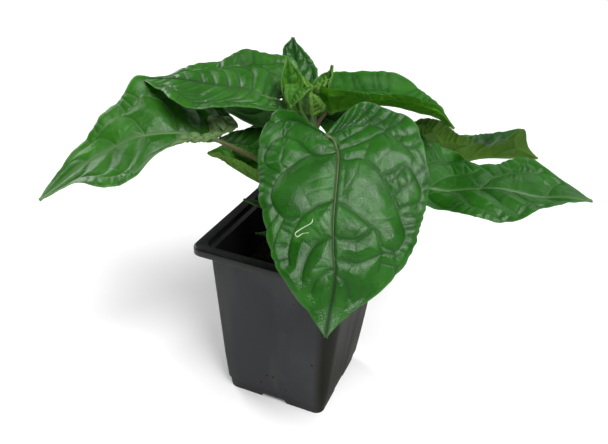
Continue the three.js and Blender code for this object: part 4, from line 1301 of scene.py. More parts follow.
def fold_shell(leaf, fold, top, under, normal):
    """A stretch of the margin turned over onto a face of the sheet, so that its other face shows."""
    edge, onto, begin, end, width, height = fold
    w = np.linspace(0, 1, FOLD_ROWS)[:, None]
    q = np.linspace(0, 1, FOLD_COLUMNS)[None, :]
    w, q = np.broadcast_arrays(w, q)
    along_edge = begin + (end - begin) * w
    shape = np.sin(np.pi * w**FOLD_LEAN) ** FOLD_FULLNESS
    across = width * shape * (1 + FOLD_WIDTH_WAVE * np.sin(FOLD_WAVES * w))
    if edge == "base":
        s, x = (q * across / leaf["length"]) ** (1 / STATION_POWER), along_edge
    else:
        sign = -1 if edge == "left" else 1
        s = along_edge
        reach = half_values(leaf, "reach", s, np.full_like(s, sign))
        x = sign * (1 - q * np.minimum(1, across / reach))
    ripple = 1 + FOLD_RISE_WAVE * np.sin(FOLD_RISE_WAVES * w + FOLD_WAVE_SHIFT * q)
    rise = height * shape * np.sin(FOLD_ARCH * q) * ripple
    base = on_sheet(under if onto == "under" else top, s, x)
    outward = on_sheet(normal, s, x) * (-1 if onto == "under" else 1)
    outer, inner = base + outward * (rise + SHEET)[..., None], base + outward * rise[..., None]
    shell = closed_sheet(outer, inner)
    if onto == "top":
        shell["slots"] = [1 - slot for slot in shell["slots"]]
        shell["edge"] = np.full(2 * s.size, FOLD_PALENESS)
    along, aside = flat_place(leaf, s, x)
    place = np.stack([along, aside, np.ones_like(along)], axis=-1).reshape(-1, 3)
    shell["place"] = np.vstack([place, place])
    return shell


print("thickness of the sheet in mm:", SHEET)

# %% The blade
BIG_LEAF_LENGTH = 60
GRID_STEP = {"big": 0.66, "small": 0.42}
FEWEST_COLUMNS = 8
FEWEST_ROWS = 16
ROWS_PER_COLUMN = 1.25
MARGIN_SHEET = 0.35
MARGIN_TAPER = 12
RIB_HEIGHT = 0.65
USUAL_RIM = 0.2
RIM_WIDTH = 1.3
PATTERN_SHIFT = 10.0


def sheet_shells(leaf, seed):
    """The shells of a blade with its scar or fold, its midrib's route, and whether it is big."""
    size = "big" if leaf["length"] > BIG_LEAF_LENGTH else "small"
    step = leaf.get("grid", GRID_STEP[size])
    widest = max(leaf["left"]["reach"] + leaf["right"]["reach"])
    half_columns = max(FEWEST_COLUMNS, round(widest / step))
    rows = max(FEWEST_ROWS, round(ROWS_PER_COLUMN * leaf["length"] / step))
    s = np.linspace(0, 1, rows)[:, None]
    j = np.arange(-half_columns, half_columns + 1) / half_columns
    x = (np.sign(j) * np.abs(j) ** COLUMN_POWER)[None, :]
    s, x = np.broadcast_arrays(s, x)
    sheet = leaf_surface(leaf, s, x)
    normal = unit(np.cross(np.gradient(sheet, axis=1), np.gradient(sheet, axis=0)))
    lift, tint, furrow, scallop, crown_light = relief(leaf, s, x, seed)
    outward = unit(np.gradient(sheet, axis=1)) * np.sign(x)[..., None]
    sheet = sheet + lift[..., None] * normal + scallop[..., None] * outward
    normal = unit(np.cross(np.gradient(sheet, axis=1), np.gradient(sheet, axis=0)))
    edge = np.clip((1 - np.abs(x)) * MARGIN_TAPER, MARGIN_SHEET, 1)
    reach = np.maximum(half_values(leaf, "reach", s, x), TIP_HALF_WIDTH)
    rim_value = leaf.get("rim", USUAL_RIM) * np.clip(RIM_WIDTH - (1 - np.abs(x)) * reach, 0, 1)
    rim_value = np.maximum(rim_value, near_roll(leaf, s, x))
    top = sheet + normal * (SHEET / 2 * edge)[..., None]
    under = sheet - normal * (SHEET / 2 * edge + RIB_HEIGHT * furrow * edge)[..., None]
    along, aside = flat_place(leaf, s, x)
    place = np.stack([along, aside, np.full_like(along, seed * PATTERN_SHIFT)], axis=-1).reshape(-1, 3)
    shell = {
        **closed_sheet(top, under),
        "vein": np.tile(tint.ravel(), 2),
        "crown_light": np.tile(crown_light.ravel(), 2),
        "matt": np.tile(near_scar(leaf, s, x).ravel(), 2),
        "pale": np.full(2 * s.size, leaf.get("pale", 0.0)),
        "edge": np.tile(rim_value.ravel(), 2),
        "place": np.vstack([place, place]),
    }
    line = np.linspace(0, 1, rows)
    midrib = on_sheet(sheet, line, rib_place(leaf, line))
    shells = [shell]
    if "scar" in leaf:
        shells.append(scar_shell(leaf, top))
    for fold in leaf.get("folds", []):
        shells.append(fold_shell(leaf, fold, top, under, normal))
    return shells, midrib, size


print("grid steps in mm:", GRID_STEP)

# %% The stalk and the midrib
STALK_RADIUS = {"big": 1.75, "small": 1.05}
RIB_START = {"big": 1.0, "small": 0.5}
RIB_END = 0.12
STALK_TAPER = 0.8
RIB_TAPER = 0.75
RIB_SHOWS = 0.25
STALK_STEPS = 26
STALK_SIDES = 14
STALK_CHANNEL = 0.22
STREAK_LENGTH = 1.5
STREAK_TURN = 6


def stalk_shell(leaf, midrib, size):
    """The stalk and the midrib as one tapering tube."""
    w = np.linspace(0, 1, STALK_STEPS)
    stalk = smooth(leaf["stalk"], w)
    thick, rib = STALK_RADIUS[size], RIB_START[size]
    widths = thick + (rib - thick) * w**STALK_TAPER
    thin = rib + (RIB_END - rib) * np.linspace(0, 1, len(midrib)) ** RIB_TAPER
    route = np.vstack([stalk[:-1], midrib[::2]])
    radii = np.concatenate([widths[:-1], thin[::2]])
    heading = math.radians(leaf["heading"])
    level = np.array([math.sin(heading), -math.cos(heading), 0])
    points, faces = tube(route, radii, STALK_SIDES, level, STALK_CHANNEL)
    run = np.repeat(np.linspace(0, leaf["length"] * STREAK_LENGTH, len(route)), STALK_SIDES)
    on_blade = (np.arange(len(route)) - STALK_STEPS) / (RIB_SHOWS * len(midrib[::2]))
    turn = np.tile(np.linspace(0, STREAK_TURN, STALK_SIDES), len(route))
    return {
        "points": points,
        "faces": faces,
        "slots": [2] * len(faces),
        "rib": np.repeat(np.clip(on_blade, 0, 1), STALK_SIDES),
        "place": np.column_stack([run, turn, np.zeros(len(points))]),
    }


# %% Stalk finish
STALK_GREEN = (0.10, 0.22, 0.045, 1)
STALK_BLUSH = (0.062, 0.024, 0.015, 1)
STREAK_SCALE = (0.08, 0.9, 1.0)
STREAK_RANGE = (0.35, 0.65)
LEAST_BLUSH = 0.6
MOST_BLUSH = 1.1


def streaks_along(tree, scale, detail):
    """Noise drawn out along a stalk or the stem."""
    place = stored(tree, "place", "Vector")
    long_way = add_node(tree, "ShaderNodeMapping", {"Vector": place, "Scale": scale}).outputs[0]
    return noise_texture(tree, long_way, 1.0, detail).outputs["Fac"]


def stalk_material(name, share, rib):
    """A smooth stalk, green with a reddish blush in long streaks, that fades into the midrib."""
    material, tree = new_material(name)
    streaks = streaks_along(tree, STREAK_SCALE, 2.0)
    amount = stretch(tree, streaks, *STREAK_RANGE, LEAST_BLUSH * share, min(1.0, MOST_BLUSH * share))
    colour = mix_colours(tree, amount, STALK_GREEN, STALK_BLUSH)
    colour = mix_colours(tree, stored(tree, "rib"), colour, (*rib, 1))
    plain_surface(tree, {"Base Color": colour, "Roughness": 0.45, "Specular IOR Level": 0.25})
    return material


# %% The callus of an old scar
callus, tree = new_material("callus")
inputs = {"Base Color": (0.50, 0.56, 0.42, 1), "Roughness": 0.7, "Specular IOR Level": 0.3}
plain_surface(tree, inputs)
print("stalk and callus finishes ready")

# %% Grow every leaf
LENGTH_STEPS = 60


def grow_leaf(name, leaf, seed):
    midline = smooth(leaf["blade"], np.linspace(0, 1, LENGTH_STEPS))
    leaf["length"] = float(np.linalg.norm(np.diff(midline, axis=0), axis=1).sum())
    blade, midrib, size = sheet_shells(leaf, seed)
    kind = leaf.get("finish", "young" if leaf["young"] else "leaf")
    stalk = stalk_material(name + " stalk", leaf["blush"], leaf["rib"])
    shells = blade + [stalk_shell(leaf, midrib, size)]
    materials = [finishes[kind + "_top"], finishes[kind + "_under"], stalk]
    if "scar" in leaf:
        materials.append(callus)
    piece = build_piece(name + "_grown", shells, materials)
    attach(piece, "root")
    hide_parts(name)
    return piece


grown = {name: grow_leaf(name, leaf, seed) for seed, (name, leaf) in enumerate(leaves.items(), 1)}
for name, piece in grown.items():
    print(name, len(piece.data.polygons), "faces")

# %% [markdown]
# ## The stem
#
# A pepper stem is green and faintly five-sided, with low ridges that run up to the leaf stalks
# and a swollen, darker joint where each stalk stands. A tube whose radius follows both is
# enough, and the joints get a purple tint from a value stored on the points.

# %% Stem sizes, as on the solid
STEM_ROUTE = [(0, 0, 45), (0, 0, 76), (-0.6, 0.3, 107), (0.3, -0.2, 138), (0.6, 0, 170)]
STEM_RADII = [4.1, 3.8, 3.5, 3.2, 2.1]
JOINT_SWELL = 0.35
JOINT_LENGTH = 3
RIDGES = 5
RIDGE = 0.16
RIDGE_TWIST = 1.5
STEM_STREAK_TURN = 24
STEM_STEPS = 260
STEM_SIDES = 40


def grow_stem():
    t = np.linspace(0, 1, STEM_STEPS)
    route = smooth(STEM_ROUTE, t)
    joints = [leaf["stalk"][0][2] for leaf in leaves.values()]
    near = np.max([np.exp(-(((route[:, 2] - z) / JOINT_LENGTH) ** 2)) for z in joints], axis=0)
    radii = smooth(STEM_RADII, t) + JOINT_SWELL * near
    points, faces = tube(route, radii, STEM_SIDES, np.array([1.0, 0, 0]))
    rings = points.reshape(STEM_STEPS, STEM_SIDES, 3)
    angles = np.linspace(0, 2 * np.pi, STEM_SIDES, endpoint=False)
    ridges = RIDGE * np.cos(RIDGES * angles[None, :] + RIDGE_TWIST * t[:, None])
    outward = unit(rings - route[:, None])
    rings = rings + outward * (ridges - RIDGE)[..., None]
    run = np.repeat(route[:, 2], STEM_SIDES)
    turn = np.tile(np.linspace(0, STEM_STREAK_TURN, STEM_SIDES), STEM_STEPS)
    return {
        "points": rings.reshape(-1, 3),
        "faces": faces,
        "slots": [0] * len(faces),
        "rib": np.repeat(near, STEM_SIDES),
        "place": np.column_stack([run, turn, np.zeros(len(run))]),
    }


# %% Stem finish
STEM_GREENS = ((0.075, 0.17, 0.03, 1), (0.13, 0.26, 0.055, 1))
BARK = (0.13, 0.11, 0.05, 1)
BARK_TOP = 105.0
BARK_FULL = 72.0
BARK_SHARE = 0.55
JOINT_PURPLE = (0.05, 0.03, 0.04, 1)
STEM_STREAKS = (0.05, 0.8, 1.0)
JOINT_TINT = 0.6
STEM_RELIEF = 0.0002

stem_material, tree = new_material("stem")
streaks = streaks_along(tree, STEM_STREAKS, 3.0)
height = add_node(tree, "ShaderNodeSeparateXYZ", {0: stored(tree, "place", "Vector")}).outputs[0]
colour = mix_colours(tree, stretch(tree, streaks, *STREAK_RANGE), *STEM_GREENS)
barky = stretch(tree, height, BARK_TOP, BARK_FULL, 0.0, BARK_SHARE)
colour = mix_colours(tree, barky, colour, BARK)
tinted = calculate(tree, "MULTIPLY", stored(tree, "rib"), JOINT_TINT)
colour = mix_colours(tree, tinted, colour, JOINT_PURPLE)
rough_skin = add_node(tree, "ShaderNodeBump", {"Height": streaks, "Distance": STEM_RELIEF})
plain_surface(tree, {"Base Color": colour, "Roughness": 0.48, "Normal": rough_skin.outputs[0]})

stem = build_piece("main_stem_grown", [grow_stem()], [stem_material])
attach(stem, "root")
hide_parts("main_stem")
print("stem:", len(stem.data.polygons), "faces")

# %% [markdown]
# ## The growing tip
#
# The very top is a bud: a short core with three folded leaves a centimetre long, yellow-green
# and glossy. They grow by the same rules as the big ones, with few veins.

# %% The bud
BUD_LEAVES = [
    {"heading": -60, "lean": 20, "length": 11, "half_width": 4.8},
    {"heading": 30, "lean": 28, "length": 11, "half_width": 4.6},
    {"heading": 160, "lean": 20, "length": 12, "half_width": 4.4},
]
BUD_WIDTHS = (0.8, 1, 0.6)
BUD_RISE = [25, 25]
BUD_CURL = [20, 20]
BUD_FOOT = 170.3
BUD_LEAF_FOOT = 2.5
BUD_LEAF_OUT = (0.6, 1.2)
FIRST_BUD_SEED = 40
CORE_HEIGHTS = (0, 3, 8)
CORE_RADII = [1.9, 1.5, 0.7]
CORE_LEAN = 0.04
CORE_STEPS = 14
CORE_SIDES = 16


def bud_leaf(heading, lean, length, half_width):
    way = math.radians(heading)
    slope = math.tan(math.radians(lean))

    def stand(out, z):
        x = STEM_ROUTE[-1][0] + out * math.cos(way)
        return (x, out * math.sin(way), BUD_FOOT + BUD_LEAF_FOOT + z)

    reach = [1, *(width * half_width for width in BUD_WIDTHS), 0]
    side = half(reach, sweep=[0, 0], rise=BUD_RISE, wave=[0, 1, 0], curl=BUD_CURL)
    foot, out = BUD_LEAF_OUT
    route = [stand(foot, 0)]
    route += [stand(out + slope * height, height) for height in (length / 2, length)]
    return dict(
        blade=route, stalk=[route[0], route[0]], heading=heading, left=side, right=side,
        quilt=0.8, crinkle=(1.1, 1.1), blush=0, young=True, length=length,
    )


shells = []
for seed, values in enumerate(BUD_LEAVES, FIRST_BUD_SEED):
    blade, _, _ = sheet_shells(bud_leaf(**values), seed)
    shells += blade
w = np.linspace(0, 1, CORE_STEPS)
core = smooth([(STEM_ROUTE[-1][0] + CORE_LEAN * z, 0, BUD_FOOT + z) for z in CORE_HEIGHTS], w)
points, faces = tube(core, smooth(CORE_RADII, w), CORE_SIDES, np.array([1.0, 0, 0]))
shells.append({"points": points, "faces": faces, "slots": [0] * len(faces)})
bud = build_piece("shoot_tip_grown", shells, [finishes["bud_top"], finishes["young_under"]])
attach(bud, "root")
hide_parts("shoot_tip")
print("bud:", len(bud.data.polygons), "faces")

# %% [markdown]
# ## The soil
#
# The pot is filled with dark, crumbly peat. A plain block would read as plastic, so the fine
# piece has an uneven top, and Geometry Nodes scatter loose crumbs over it: points spread at
# random, a lump on each, turned and sized by chance. The scatter is made real and becomes part
# of a plain mesh.

# %% Sizes shared with the pot's solid
FOOT_SIDE = 59
SHOULDER_SIDE = 76
SHOULDER_Z = 95
BULGE = 0.85
WALL = 1.2
GAP = 0.3
DRAIN_HEIGHT = 2.3
SOIL_Z = 70
SOIL_BUMPS = 1.4
SWELL_SHARE = 0.6
SOIL_SWELL_LENGTH = 30
SOIL_LUMP_LENGTH = 13


def body_side(z):
    """The side of the pot's square body at a height."""
    return FOOT_SIDE + (SHOULDER_SIDE - FOOT_SIDE) * (z / SHOULDER_Z) ** BULGE


def rounded_square(side, corner, z, steps=8):
    """A level ring of points in mm: a square with round corners."""
    quarter, i = np.divmod(np.arange(4 * (steps + 1)), steps + 1)
    angle = (quarter + i / steps) * (np.pi / 2)
    middle = side / 2 - corner
    diagonal = (quarter + 0.5) * (np.pi / 2)
    x = middle * np.sign(np.cos(diagonal)) + corner * np.cos(angle)
    y = middle * np.sign(np.sin(diagonal)) + corner * np.sin(angle)
    return np.column_stack([x, y, np.full(len(x), float(z))])


def soil_height(x, y):
    turn = 2 * np.pi
    swell = np.sin(turn * x / SOIL_SWELL_LENGTH) * np.cos(turn * y / SOIL_SWELL_LENGTH)
    lumps = np.sin(turn * (x - y) / SOIL_LUMP_LENGTH)
    return SOIL_Z + SOIL_BUMPS * (SWELL_SHARE * swell + (1 - SWELL_SHARE) * lumps)


print("soil level in mm:", SOIL_Z)

# %% The soil's block with a fine top
SOIL_CORNER = 3.8
SIDE_LEVELS = (20, 40, 60)
SHOULDER_DROP = 2
TOP_SHARES = (0.985, 0.11)
TOP_RINGS = 44
CLOD_HEIGHT = 0.7
CLOD_LENGTH = 3.1
CLOD_SEED = 5
GRIT_HEIGHT = 0.35
GRIT_LENGTH = 1.0
GRIT_SEED = 9


def soil_block():
    inner = body_side(SOIL_Z) - 2 * (WALL + GAP)
    rings = [
        rounded_square(body_side(z) - 2 * (WALL + GAP), SOIL_CORNER, z)
        for z in (DRAIN_HEIGHT + WALL + GAP, *SIDE_LEVELS, SOIL_Z - SHOULDER_DROP)
    ]
    for share in np.linspace(*TOP_SHARES, TOP_RINGS):
        ring = rounded_square(inner * share, SOIL_CORNER * share, SOIL_Z)
        clods = CLOD_HEIGHT * noise_over(ring[:, :2], CLOD_LENGTH, CLOD_SEED)
        grit = GRIT_HEIGHT * noise_over(ring[:, :2], GRIT_LENGTH, GRIT_SEED)
        ring[:, 2] = soil_height(ring[:, 0], ring[:, 1]) + clods + grit
        rings.append(ring)
    count = len(rings[0])
    points = np.vstack(rings)
    faces = []
    for r in range(len(rings) - 1):
        for i in range(count):
            a, b = r * count + i, r * count + (i + 1) % count
            faces.append((a, b, b + count, a + count))
    faces.append(tuple(reversed(range(count))))
    faces.append(tuple(range((len(rings) - 1) * count, len(rings) * count)))
    return {"points": points, "faces": faces, "slots": [0] * len(faces)}


# %% Peat finish
PEAT_DAMP = (0.006, 0.004, 0.003, 1)
PEAT_DRY = (0.024, 0.016, 0.011, 1)
FIBRE = (0.06, 0.042, 0.025, 1)
DRY_RANGE = (0.35, 0.68)
FIBRE_RANGE = (0.62, 0.78)
FIBRE_SHARE = 0.6
PEAT_RELIEF = 0.0006

peat, tree = new_material("peat")
spot = add_node(tree, "ShaderNodeTexCoord").outputs["Object"]
clods = noise_texture(tree, spot, 260.0, 5.0).outputs["Fac"]
fibre = noise_texture(tree, spot, 1500.0, 3.0).outputs["Fac"]
colour = mix_colours(tree, stretch(tree, clods, *DRY_RANGE), PEAT_DAMP, PEAT_DRY)
colour = mix_colours(tree, stretch(tree, fibre, *FIBRE_RANGE, 0.0, FIBRE_SHARE), colour, FIBRE)
crumbly = add_node(tree, "ShaderNodeBump", {"Height": fibre, "Distance": PEAT_RELIEF}).outputs[0]
inputs = {"Base Color": colour, "Roughness": 0.95, "Specular IOR Level": 0.2, "Normal": crumbly}
plain_surface(tree, inputs)
print("peat ready")


# %% A tree that scatters crumbs
UPWARD = 0.3
SPREAD_SEED = 3
TURN_SEED = 11
SIZE_SEED = 12
CRUMB_ROUGHNESS = 1.7
SMALLEST_CRUMB = (0.25, 0.25, 0.2)
BIGGEST_CRUMB = (1.25, 0.9, 0.8)


def crumb_tree():
    tree = bpy.data.node_groups.new("peat crumbs", "GeometryNodeTree")
    add_sockets(
        tree,
        [
            ("Geometry", "NodeSocketGeometry", None),
            ("Crumb Size", "NodeSocketFloat", 0.0011),
            ("Density", "NodeSocketFloat", 300000.0),
            ("Spacing", "NodeSocketFloat", 0.0011),
            ("Finish", "NodeSocketMaterial", None),
        ],
        [("Geometry", "NodeSocketGeometry")],
    )
    start = add_node(tree, "NodeGroupInput").outputs
    facing = add_node(tree, "GeometryNodeInputNormal")
    upward = add_node(tree, "ShaderNodeSeparateXYZ", {0: facing.outputs[0]}).outputs[2]
    is_top = add_node(tree, "FunctionNodeCompare", {0: upward, 1: UPWARD}, operation="GREATER_THAN")
    spread = {
        "Mesh": start["Geometry"],
        "Selection": is_top.outputs[0],
        "Distance Min": start["Spacing"],
        "Density Max": start["Density"],
        "Seed": SPREAD_SEED,
    }
    points = add_node(
        tree, "GeometryNodeDistributePointsOnFaces", spread, distribute_method="POISSON"
    ).outputs["Points"]
    lump = add_node(tree, "GeometryNodeMeshIcoSphere", {"Radius": 1.0, "Subdivisions": 1}).outputs[0]
    place = add_node(tree, "GeometryNodeInputPosition").outputs[0]
    rough = noise_texture(tree, place, CRUMB_ROUGHNESS, 2.0).outputs["Color"]
    middle = (0.5, 0.5, 0.5)
    offset = add_node(tree, "ShaderNodeVectorMath", {0: rough, 1: middle}, operation="SUBTRACT").outputs[0]
    crumb = add_node(tree, "GeometryNodeSetPosition", {"Geometry": lump, "Offset": offset}).outputs[0]

    def chance(low, high, seed):
        inputs = {0: low, 1: high, "Seed": seed}
        return add_node(tree, "FunctionNodeRandomValue", inputs, data_type="FLOAT_VECTOR").outputs[0]

    sizes = {0: chance(SMALLEST_CRUMB, BIGGEST_CRUMB, SIZE_SEED), 3: start["Crumb Size"]}
    placing = {
        "Points": points,
        "Instance": crumb,
        "Rotation": chance((0.0,) * 3, (2 * math.pi,) * 3, TURN_SEED),
        "Scale": add_node(tree, "ShaderNodeVectorMath", sizes, operation="SCALE").outputs[0],
    }
    crumbs = add_node(tree, "GeometryNodeInstanceOnPoints", placing)
    joined = add_node(tree, "GeometryNodeJoinGeometry")
    tree.links.new(start["Geometry"], joined.inputs[0])
    tree.links.new(crumbs.outputs[0], joined.inputs[0])
    real = add_node(tree, "GeometryNodeRealizeInstances", {0: joined.outputs[0]}).outputs[0]
    finish = {"Geometry": real, "Material": start["Finish"]}
    finished = add_node(tree, "GeometryNodeSetMaterial", finish)
    end = add_node(tree, "NodeGroupOutput")
    tree.links.new(finished.outputs[0], end.inputs[0])
    return tree


def apply_tree(name, base, tree, settings):
    """The result of a Geometry Nodes tree on an object, as a new plain piece."""
    modifier = base.modifiers.new("tree", "NODES")
    modifier.node_group = tree
    sockets = {item.name: item.identifier for item in tree.interface.items_tree if item.in_out == "INPUT"}
    for key, value in settings.items():
        modifier[sockets[key]] = value
    evaluated = base.evaluated_get(bpy.context.evaluated_depsgraph_get())
    mesh = bpy.data.meshes.new_from_object(evaluated)
    mesh.name = name
    piece = bpy.data.objects.new(name, mesh)
    bpy.context.scene.collection.objects.link(piece)
    base.modifiers.remove(modifier)
    bpy.data.objects.remove(base)
    return piece


# %% Scatter the crumbs
block = build_piece("soil_block", [soil_block()], [peat], turn=False)
soil = apply_tree("soil_grown", block, crumb_tree(), {"Finish": peat, "Crumb Size": 0.0012})
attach(soil, "root")
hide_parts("soil")
print("soil:", len(soil.data.polygons), "faces")

# %% [markdown]
# ## The pot
#
# The pot is one thin-walled moulding, already right in its solid: walls, rim, foot and drain
# notches. What a moulding adds is a small radius on every edge. A copy of the solid has its
# loose triangles merged back into whole faces, and a bevel rounds each sharp edge.

# %% Round the pot's edges
SAME_POINT = 1e-6
EDGE_RADIUS = 0.00028
FLAT_ANGLE = math.radians(1)
SHARP_ANGLE = math.radians(28)
SHADED_SHARP = math.radians(40)

pot_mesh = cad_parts["pot"].data.copy()
work = bmesh.new()
work.from_mesh(pot_mesh)
bmesh.ops.remove_doubles(work, verts=work.verts, dist=SAME_POINT)
bmesh.ops.dissolve_limit(work, angle_limit=FLAT_ANGLE, verts=work.verts, edges=work.edges)
work.to_mesh(pot_mesh)
work.free()
pot_base = bpy.data.objects.new("pot_base", pot_mesh)
bpy.context.scene.collection.objects.link(pot_base)
rounding = pot_base.modifiers.new("round edges", "BEVEL")
rounding.width = EDGE_RADIUS
rounding.segments = 2
rounding.limit_method = "ANGLE"
rounding.angle_limit = SHARP_ANGLE
rounding.harden_normals = False
evaluated = pot_base.evaluated_get(bpy.context.evaluated_depsgraph_get())
moulded = bpy.data.meshes.new_from_object(evaluated)
moulded.name = "pot_moulded"
pot = bpy.data.objects.new("pot_moulded", moulded)
bpy.context.scene.collection.objects.link(pot)
bpy.data.objects.remove(pot_base)
moulded.polygons.foreach_set("use_smooth", [True] * len(moulded.polygons))
moulded.set_sharp_from_angle(angle=SHADED_SHARP)
print("pot:", len(moulded.polygons), "faces")

# %% [markdown]
# ## Charcoal plastic
#
# The plastic is recycled, a soft charcoal rather than black on its worn walls. Its rim and its
# inside are glossier, and painted nearly black as shade, so the faces of the pot choose between
# two materials.
# Handling has left faint upright smears, dull patches and a few specks of soil, and painted
# shade with an olive tint darkens one side wall, most at the foot. The smears and specks are one
# node group of masks, so a material only chooses how strong each one is.

# %% The handling marks group
UPRIGHT = (1.0, 1.0, 0.28)
SMEAR_RANGE = (0.45, 0.75)
SPECK_SIZES = (0.10, 0.2)
SPECK_RARITY = (0.955, 0.965)
PEBBLE_SCALE = 2600.0

marks, start, end = new_group(
    "handling marks",
    [
        ("Place", "NodeSocketVector", None),
        ("Smear Size", "NodeSocketFloat", 55.0),
        ("Speck Size", "NodeSocketFloat", 260.0),
    ],
    [("Smears", "NodeSocketFloat"), ("Specks", "NodeSocketFloat"), ("Grain", "NodeSocketFloat")],
)
place, smear_scale, speck_scale = (start.outputs[k] for k in ("Place", "Smear Size", "Speck Size"))
upright = add_node(marks, "ShaderNodeMapping", {"Vector": place, "Scale": UPRIGHT}).outputs[0]
smears = noise_texture(marks, upright, smear_scale, 4.0, Distortion=0.6).outputs["Fac"]
spots = add_node(marks, "ShaderNodeTexVoronoi", {"Vector": place, "Scale": speck_scale})
rare = add_node(marks, "ShaderNodeSeparateColor", {0: spots.outputs["Color"]}).outputs[0]
near_spot = stretch(marks, spots.outputs["Distance"], *SPECK_SIZES, 1.0, 0.0)
specks = calculate(marks, "MULTIPLY", near_spot, stretch(marks, rare, *SPECK_RARITY))
fine = noise_texture(marks, place, PEBBLE_SCALE, 2.0).outputs["Fac"]
marks.links.new(stretch(marks, smears, *SMEAR_RANGE), end.inputs["Smears"])
marks.links.new(specks, end.inputs["Specks"])
marks.links.new(fine, end.inputs["Grain"])
print("group made:", marks.name)

# %% Charcoal plastic, dull on the walls, glossier on the rim and inside and painted darker there as shade
WALL_DULL = (0.050, 0.051, 0.053, 1)
WALL_PALE = (0.068, 0.069, 0.070, 1)
# The rim and inside are the same plastic, painted darker as shade.
RIM_SHADED_DULL = (0.006, 0.006, 0.007, 1)
RIM_SHADED_PALE = (0.011, 0.011, 0.012, 1)
SPECK = (0.008, 0.007, 0.006, 1)
# Painted shade with an olive tint on the side wall at +x, darker toward the foot.
SIDE_SHADE = (0.011, 0.0105, 0.006, 1)
SIDE_SHADE_START = 0.024
SIDE_SHADE_FULL = 0.029
SIDE_SHADE_FOOT = 0.02
SIDE_SHADE_TOP = 0.09
SIDE_SHADE_AT_FOOT = 0.9
SIDE_SHADE_AT_TOP = 0.6
GRAIN_STRENGTH = 0.5


def plastic_material(name, dull, pale, smooth_rough, worn_rough, shine, grain):
    """Plastic in two greys with smears, specks and painted shade on one side wall, and a fine grain of that
    height.
    """
    material, tree = new_material(name)
    spot = add_node(tree, "ShaderNodeTexCoord").outputs["Object"]
    worn = add_node(tree, "ShaderNodeGroup", node_tree=marks)
    tree.links.new(spot, worn.inputs["Place"])
    colour = mix_colours(tree, worn.outputs["Smears"], dull, pale)
    across, _, height = add_node(tree, "ShaderNodeSeparateXYZ", {0: spot}).outputs
    # Painted shade on the side wall at +x, strongest near the foot.
    on_side = stretch(tree, across, SIDE_SHADE_START, SIDE_SHADE_FULL)
    side_shade = stretch(tree, height, SIDE_SHADE_FOOT, SIDE_SHADE_TOP, SIDE_SHADE_AT_FOOT, SIDE_SHADE_AT_TOP)
    colour = mix_colours(tree, calculate(tree, "MULTIPLY", on_side, side_shade), colour, SIDE_SHADE)
    colour = mix_colours(tree, worn.outputs["Specks"], colour, SPECK)
    rough_here = stretch(tree, worn.outputs["Smears"], 0, 1, smooth_rough, worn_rough)
    bump_inputs = {"Height": worn.outputs["Grain"], "Distance": grain, "Strength": GRAIN_STRENGTH}
    inputs = {
        "Base Color": colour,
        "Roughness": rough_here,
        "Specular IOR Level": shine,
        "Normal": add_node(tree, "ShaderNodeBump", bump_inputs).outputs[0],
    }
    plain_surface(tree, inputs)
    return material


walls = plastic_material(
    "charcoal plastic", WALL_DULL, WALL_PALE, smooth_rough=0.5, worn_rough=0.62, shine=0.03, grain=0.00003
)
# The rim and inside take the same plastic painted darker, as shade, and glossier.
rim = plastic_material(
    "rim plastic", RIM_SHADED_DULL, RIM_SHADED_PALE, smooth_rough=0.3, worn_rough=0.42, shine=0.3, grain=0.00001
)
print("plastics:", walls.name, "and", rim.name)

# %% Rim and inside, or outer walls
RIM_FOOT = 0.0935
INNER_FACE = -0.001


def on_rim(polygon):
    """Whether a face belongs to the rim, or to the inside of the walls."""
    place, normal = polygon.center, polygon.normal
    inside = place.x * normal.x + place.y * normal.y < INNER_FACE
    return place.z > RIM_FOOT or inside


moulded.materials.clear()
moulded.materials.append(walls)
moulded.materials.append(rim)
# Faces of the rim and of the inside of the walls get the plastic painted darker as shade.
shaded_faces = [int(on_rim(polygon)) for polygon in moulded.polygons]
moulded.polygons.foreach_set("material_index", shaded_faces)
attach(pot, "root")
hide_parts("pot")
print("faces of rim and inside:", sum(shaded_faces), "of", len(shaded_faces))

# %% [markdown]
# ## The studio
#
# The plant stands in soft daylight against white. Three big square lamps give that: a strong
# one overhead on the right puts the broad sheen on the front leaf, one behind on the left gives
# the leaves there theirs, and a weak one behind shows up the margins at the back. A bright sky
# all round would wash out the greens, so it is dim for the plant and bright only where it is
# seen directly. The pale floor glows a little in the same way, to come out white.

# %% Floor and light
FLOOR_SIZE = 3.0
FLOOR_GLOW = 0.10
FLOOR_WHITE = (0.9, 0.9, 0.9, 1)
SKY_WHITE = (0.95, 0.97, 1.0, 1)
SKY_LIGHT = 0.08
SKY_SEEN = 0.9
LAMP_TARGET = (0, 0, 0.1)

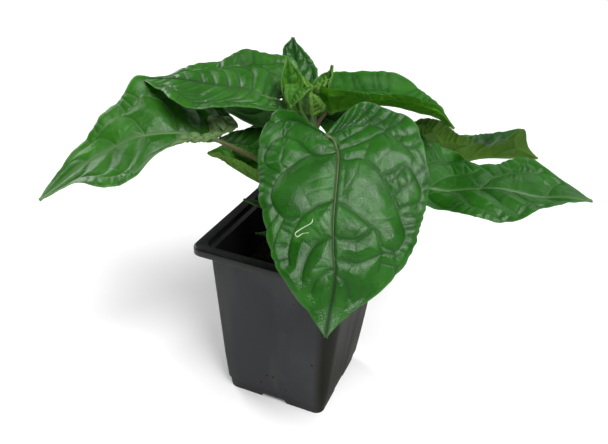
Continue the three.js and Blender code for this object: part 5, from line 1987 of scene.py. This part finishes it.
scene = bpy.context.scene
floor_mesh = bpy.data.meshes.new("floor")
corners = [(x * FLOOR_SIZE, y * FLOOR_SIZE, 0) for x, y in ((-1, -1), (1, -1), (1, 1), (-1, 1))]
floor_mesh.from_pydata(corners, [], [(0, 1, 2, 3)])
floor = bpy.data.objects.new("floor", floor_mesh)
scene.collection.objects.link(floor)
pale, tree = new_material("pale floor")
body = add_node(tree, "ShaderNodeBsdfPrincipled", {"Base Color": FLOOR_WHITE, "Roughness": 0.9})
seen = add_node(tree, "ShaderNodeLightPath").outputs["Is Camera Ray"]
glow = add_node(tree, "ShaderNodeEmission", {1: calculate(tree, "MULTIPLY", seen, FLOOR_GLOW)})
surface(tree, add_node(tree, "ShaderNodeAddShader", {0: body.outputs[0], 1: glow.outputs[0]}))
floor_mesh.materials.append(pale)

world = bpy.data.worlds.new("soft sky")
world.use_nodes = True
backdrop = world.node_tree.nodes["Background"]
seen = add_node(world.node_tree, "ShaderNodeLightPath").outputs["Is Camera Ray"]
brightness = stretch(world.node_tree, seen, 0, 1, SKY_LIGHT, SKY_SEEN)
world.node_tree.links.new(brightness, backdrop.inputs["Strength"])
backdrop.inputs["Color"].default_value = SKY_WHITE
scene.world = world


def soft_lamp(name, place, size, power):
    """A square lamp of that size in metres and power in watts, turned toward the plant."""
    data = bpy.data.lights.new(name, "AREA")
    data.size = size
    data.energy = power
    lamp = bpy.data.objects.new(name, data)
    scene.collection.objects.link(lamp)
    way = Vector(LAMP_TARGET) - Vector(place)
    turn = way.to_track_quat("-Z", "Y").to_matrix().to_4x4()
    lamp.matrix_world = Matrix.Translation(place) @ turn
    lamp.visible_camera = False


soft_lamp("overhead", (1.25, -0.85, 2.35), size=1.6, power=100.0)
soft_lamp("behind left", (-2.3, 0.9, 1.45), size=1.4, power=50.0)
soft_lamp("behind", (0.6, 2.5, 1.9), size=2.0, power=15.0)
scene.view_settings.view_transform = "Standard"
print("lamps:", len(bpy.data.lights))

# %% Count the triangles
def triangles(piece):
    piece.data.calc_loop_triangles()
    return len(piece.data.loop_triangles)


counts = {piece.name: triangles(piece) for piece in (*grown.values(), stem, bud, soil, pot)}
biggest = max(counts, key=counts.get)
print("triangles:", sum(counts.values()), "in all, the most in", biggest, counts[biggest])
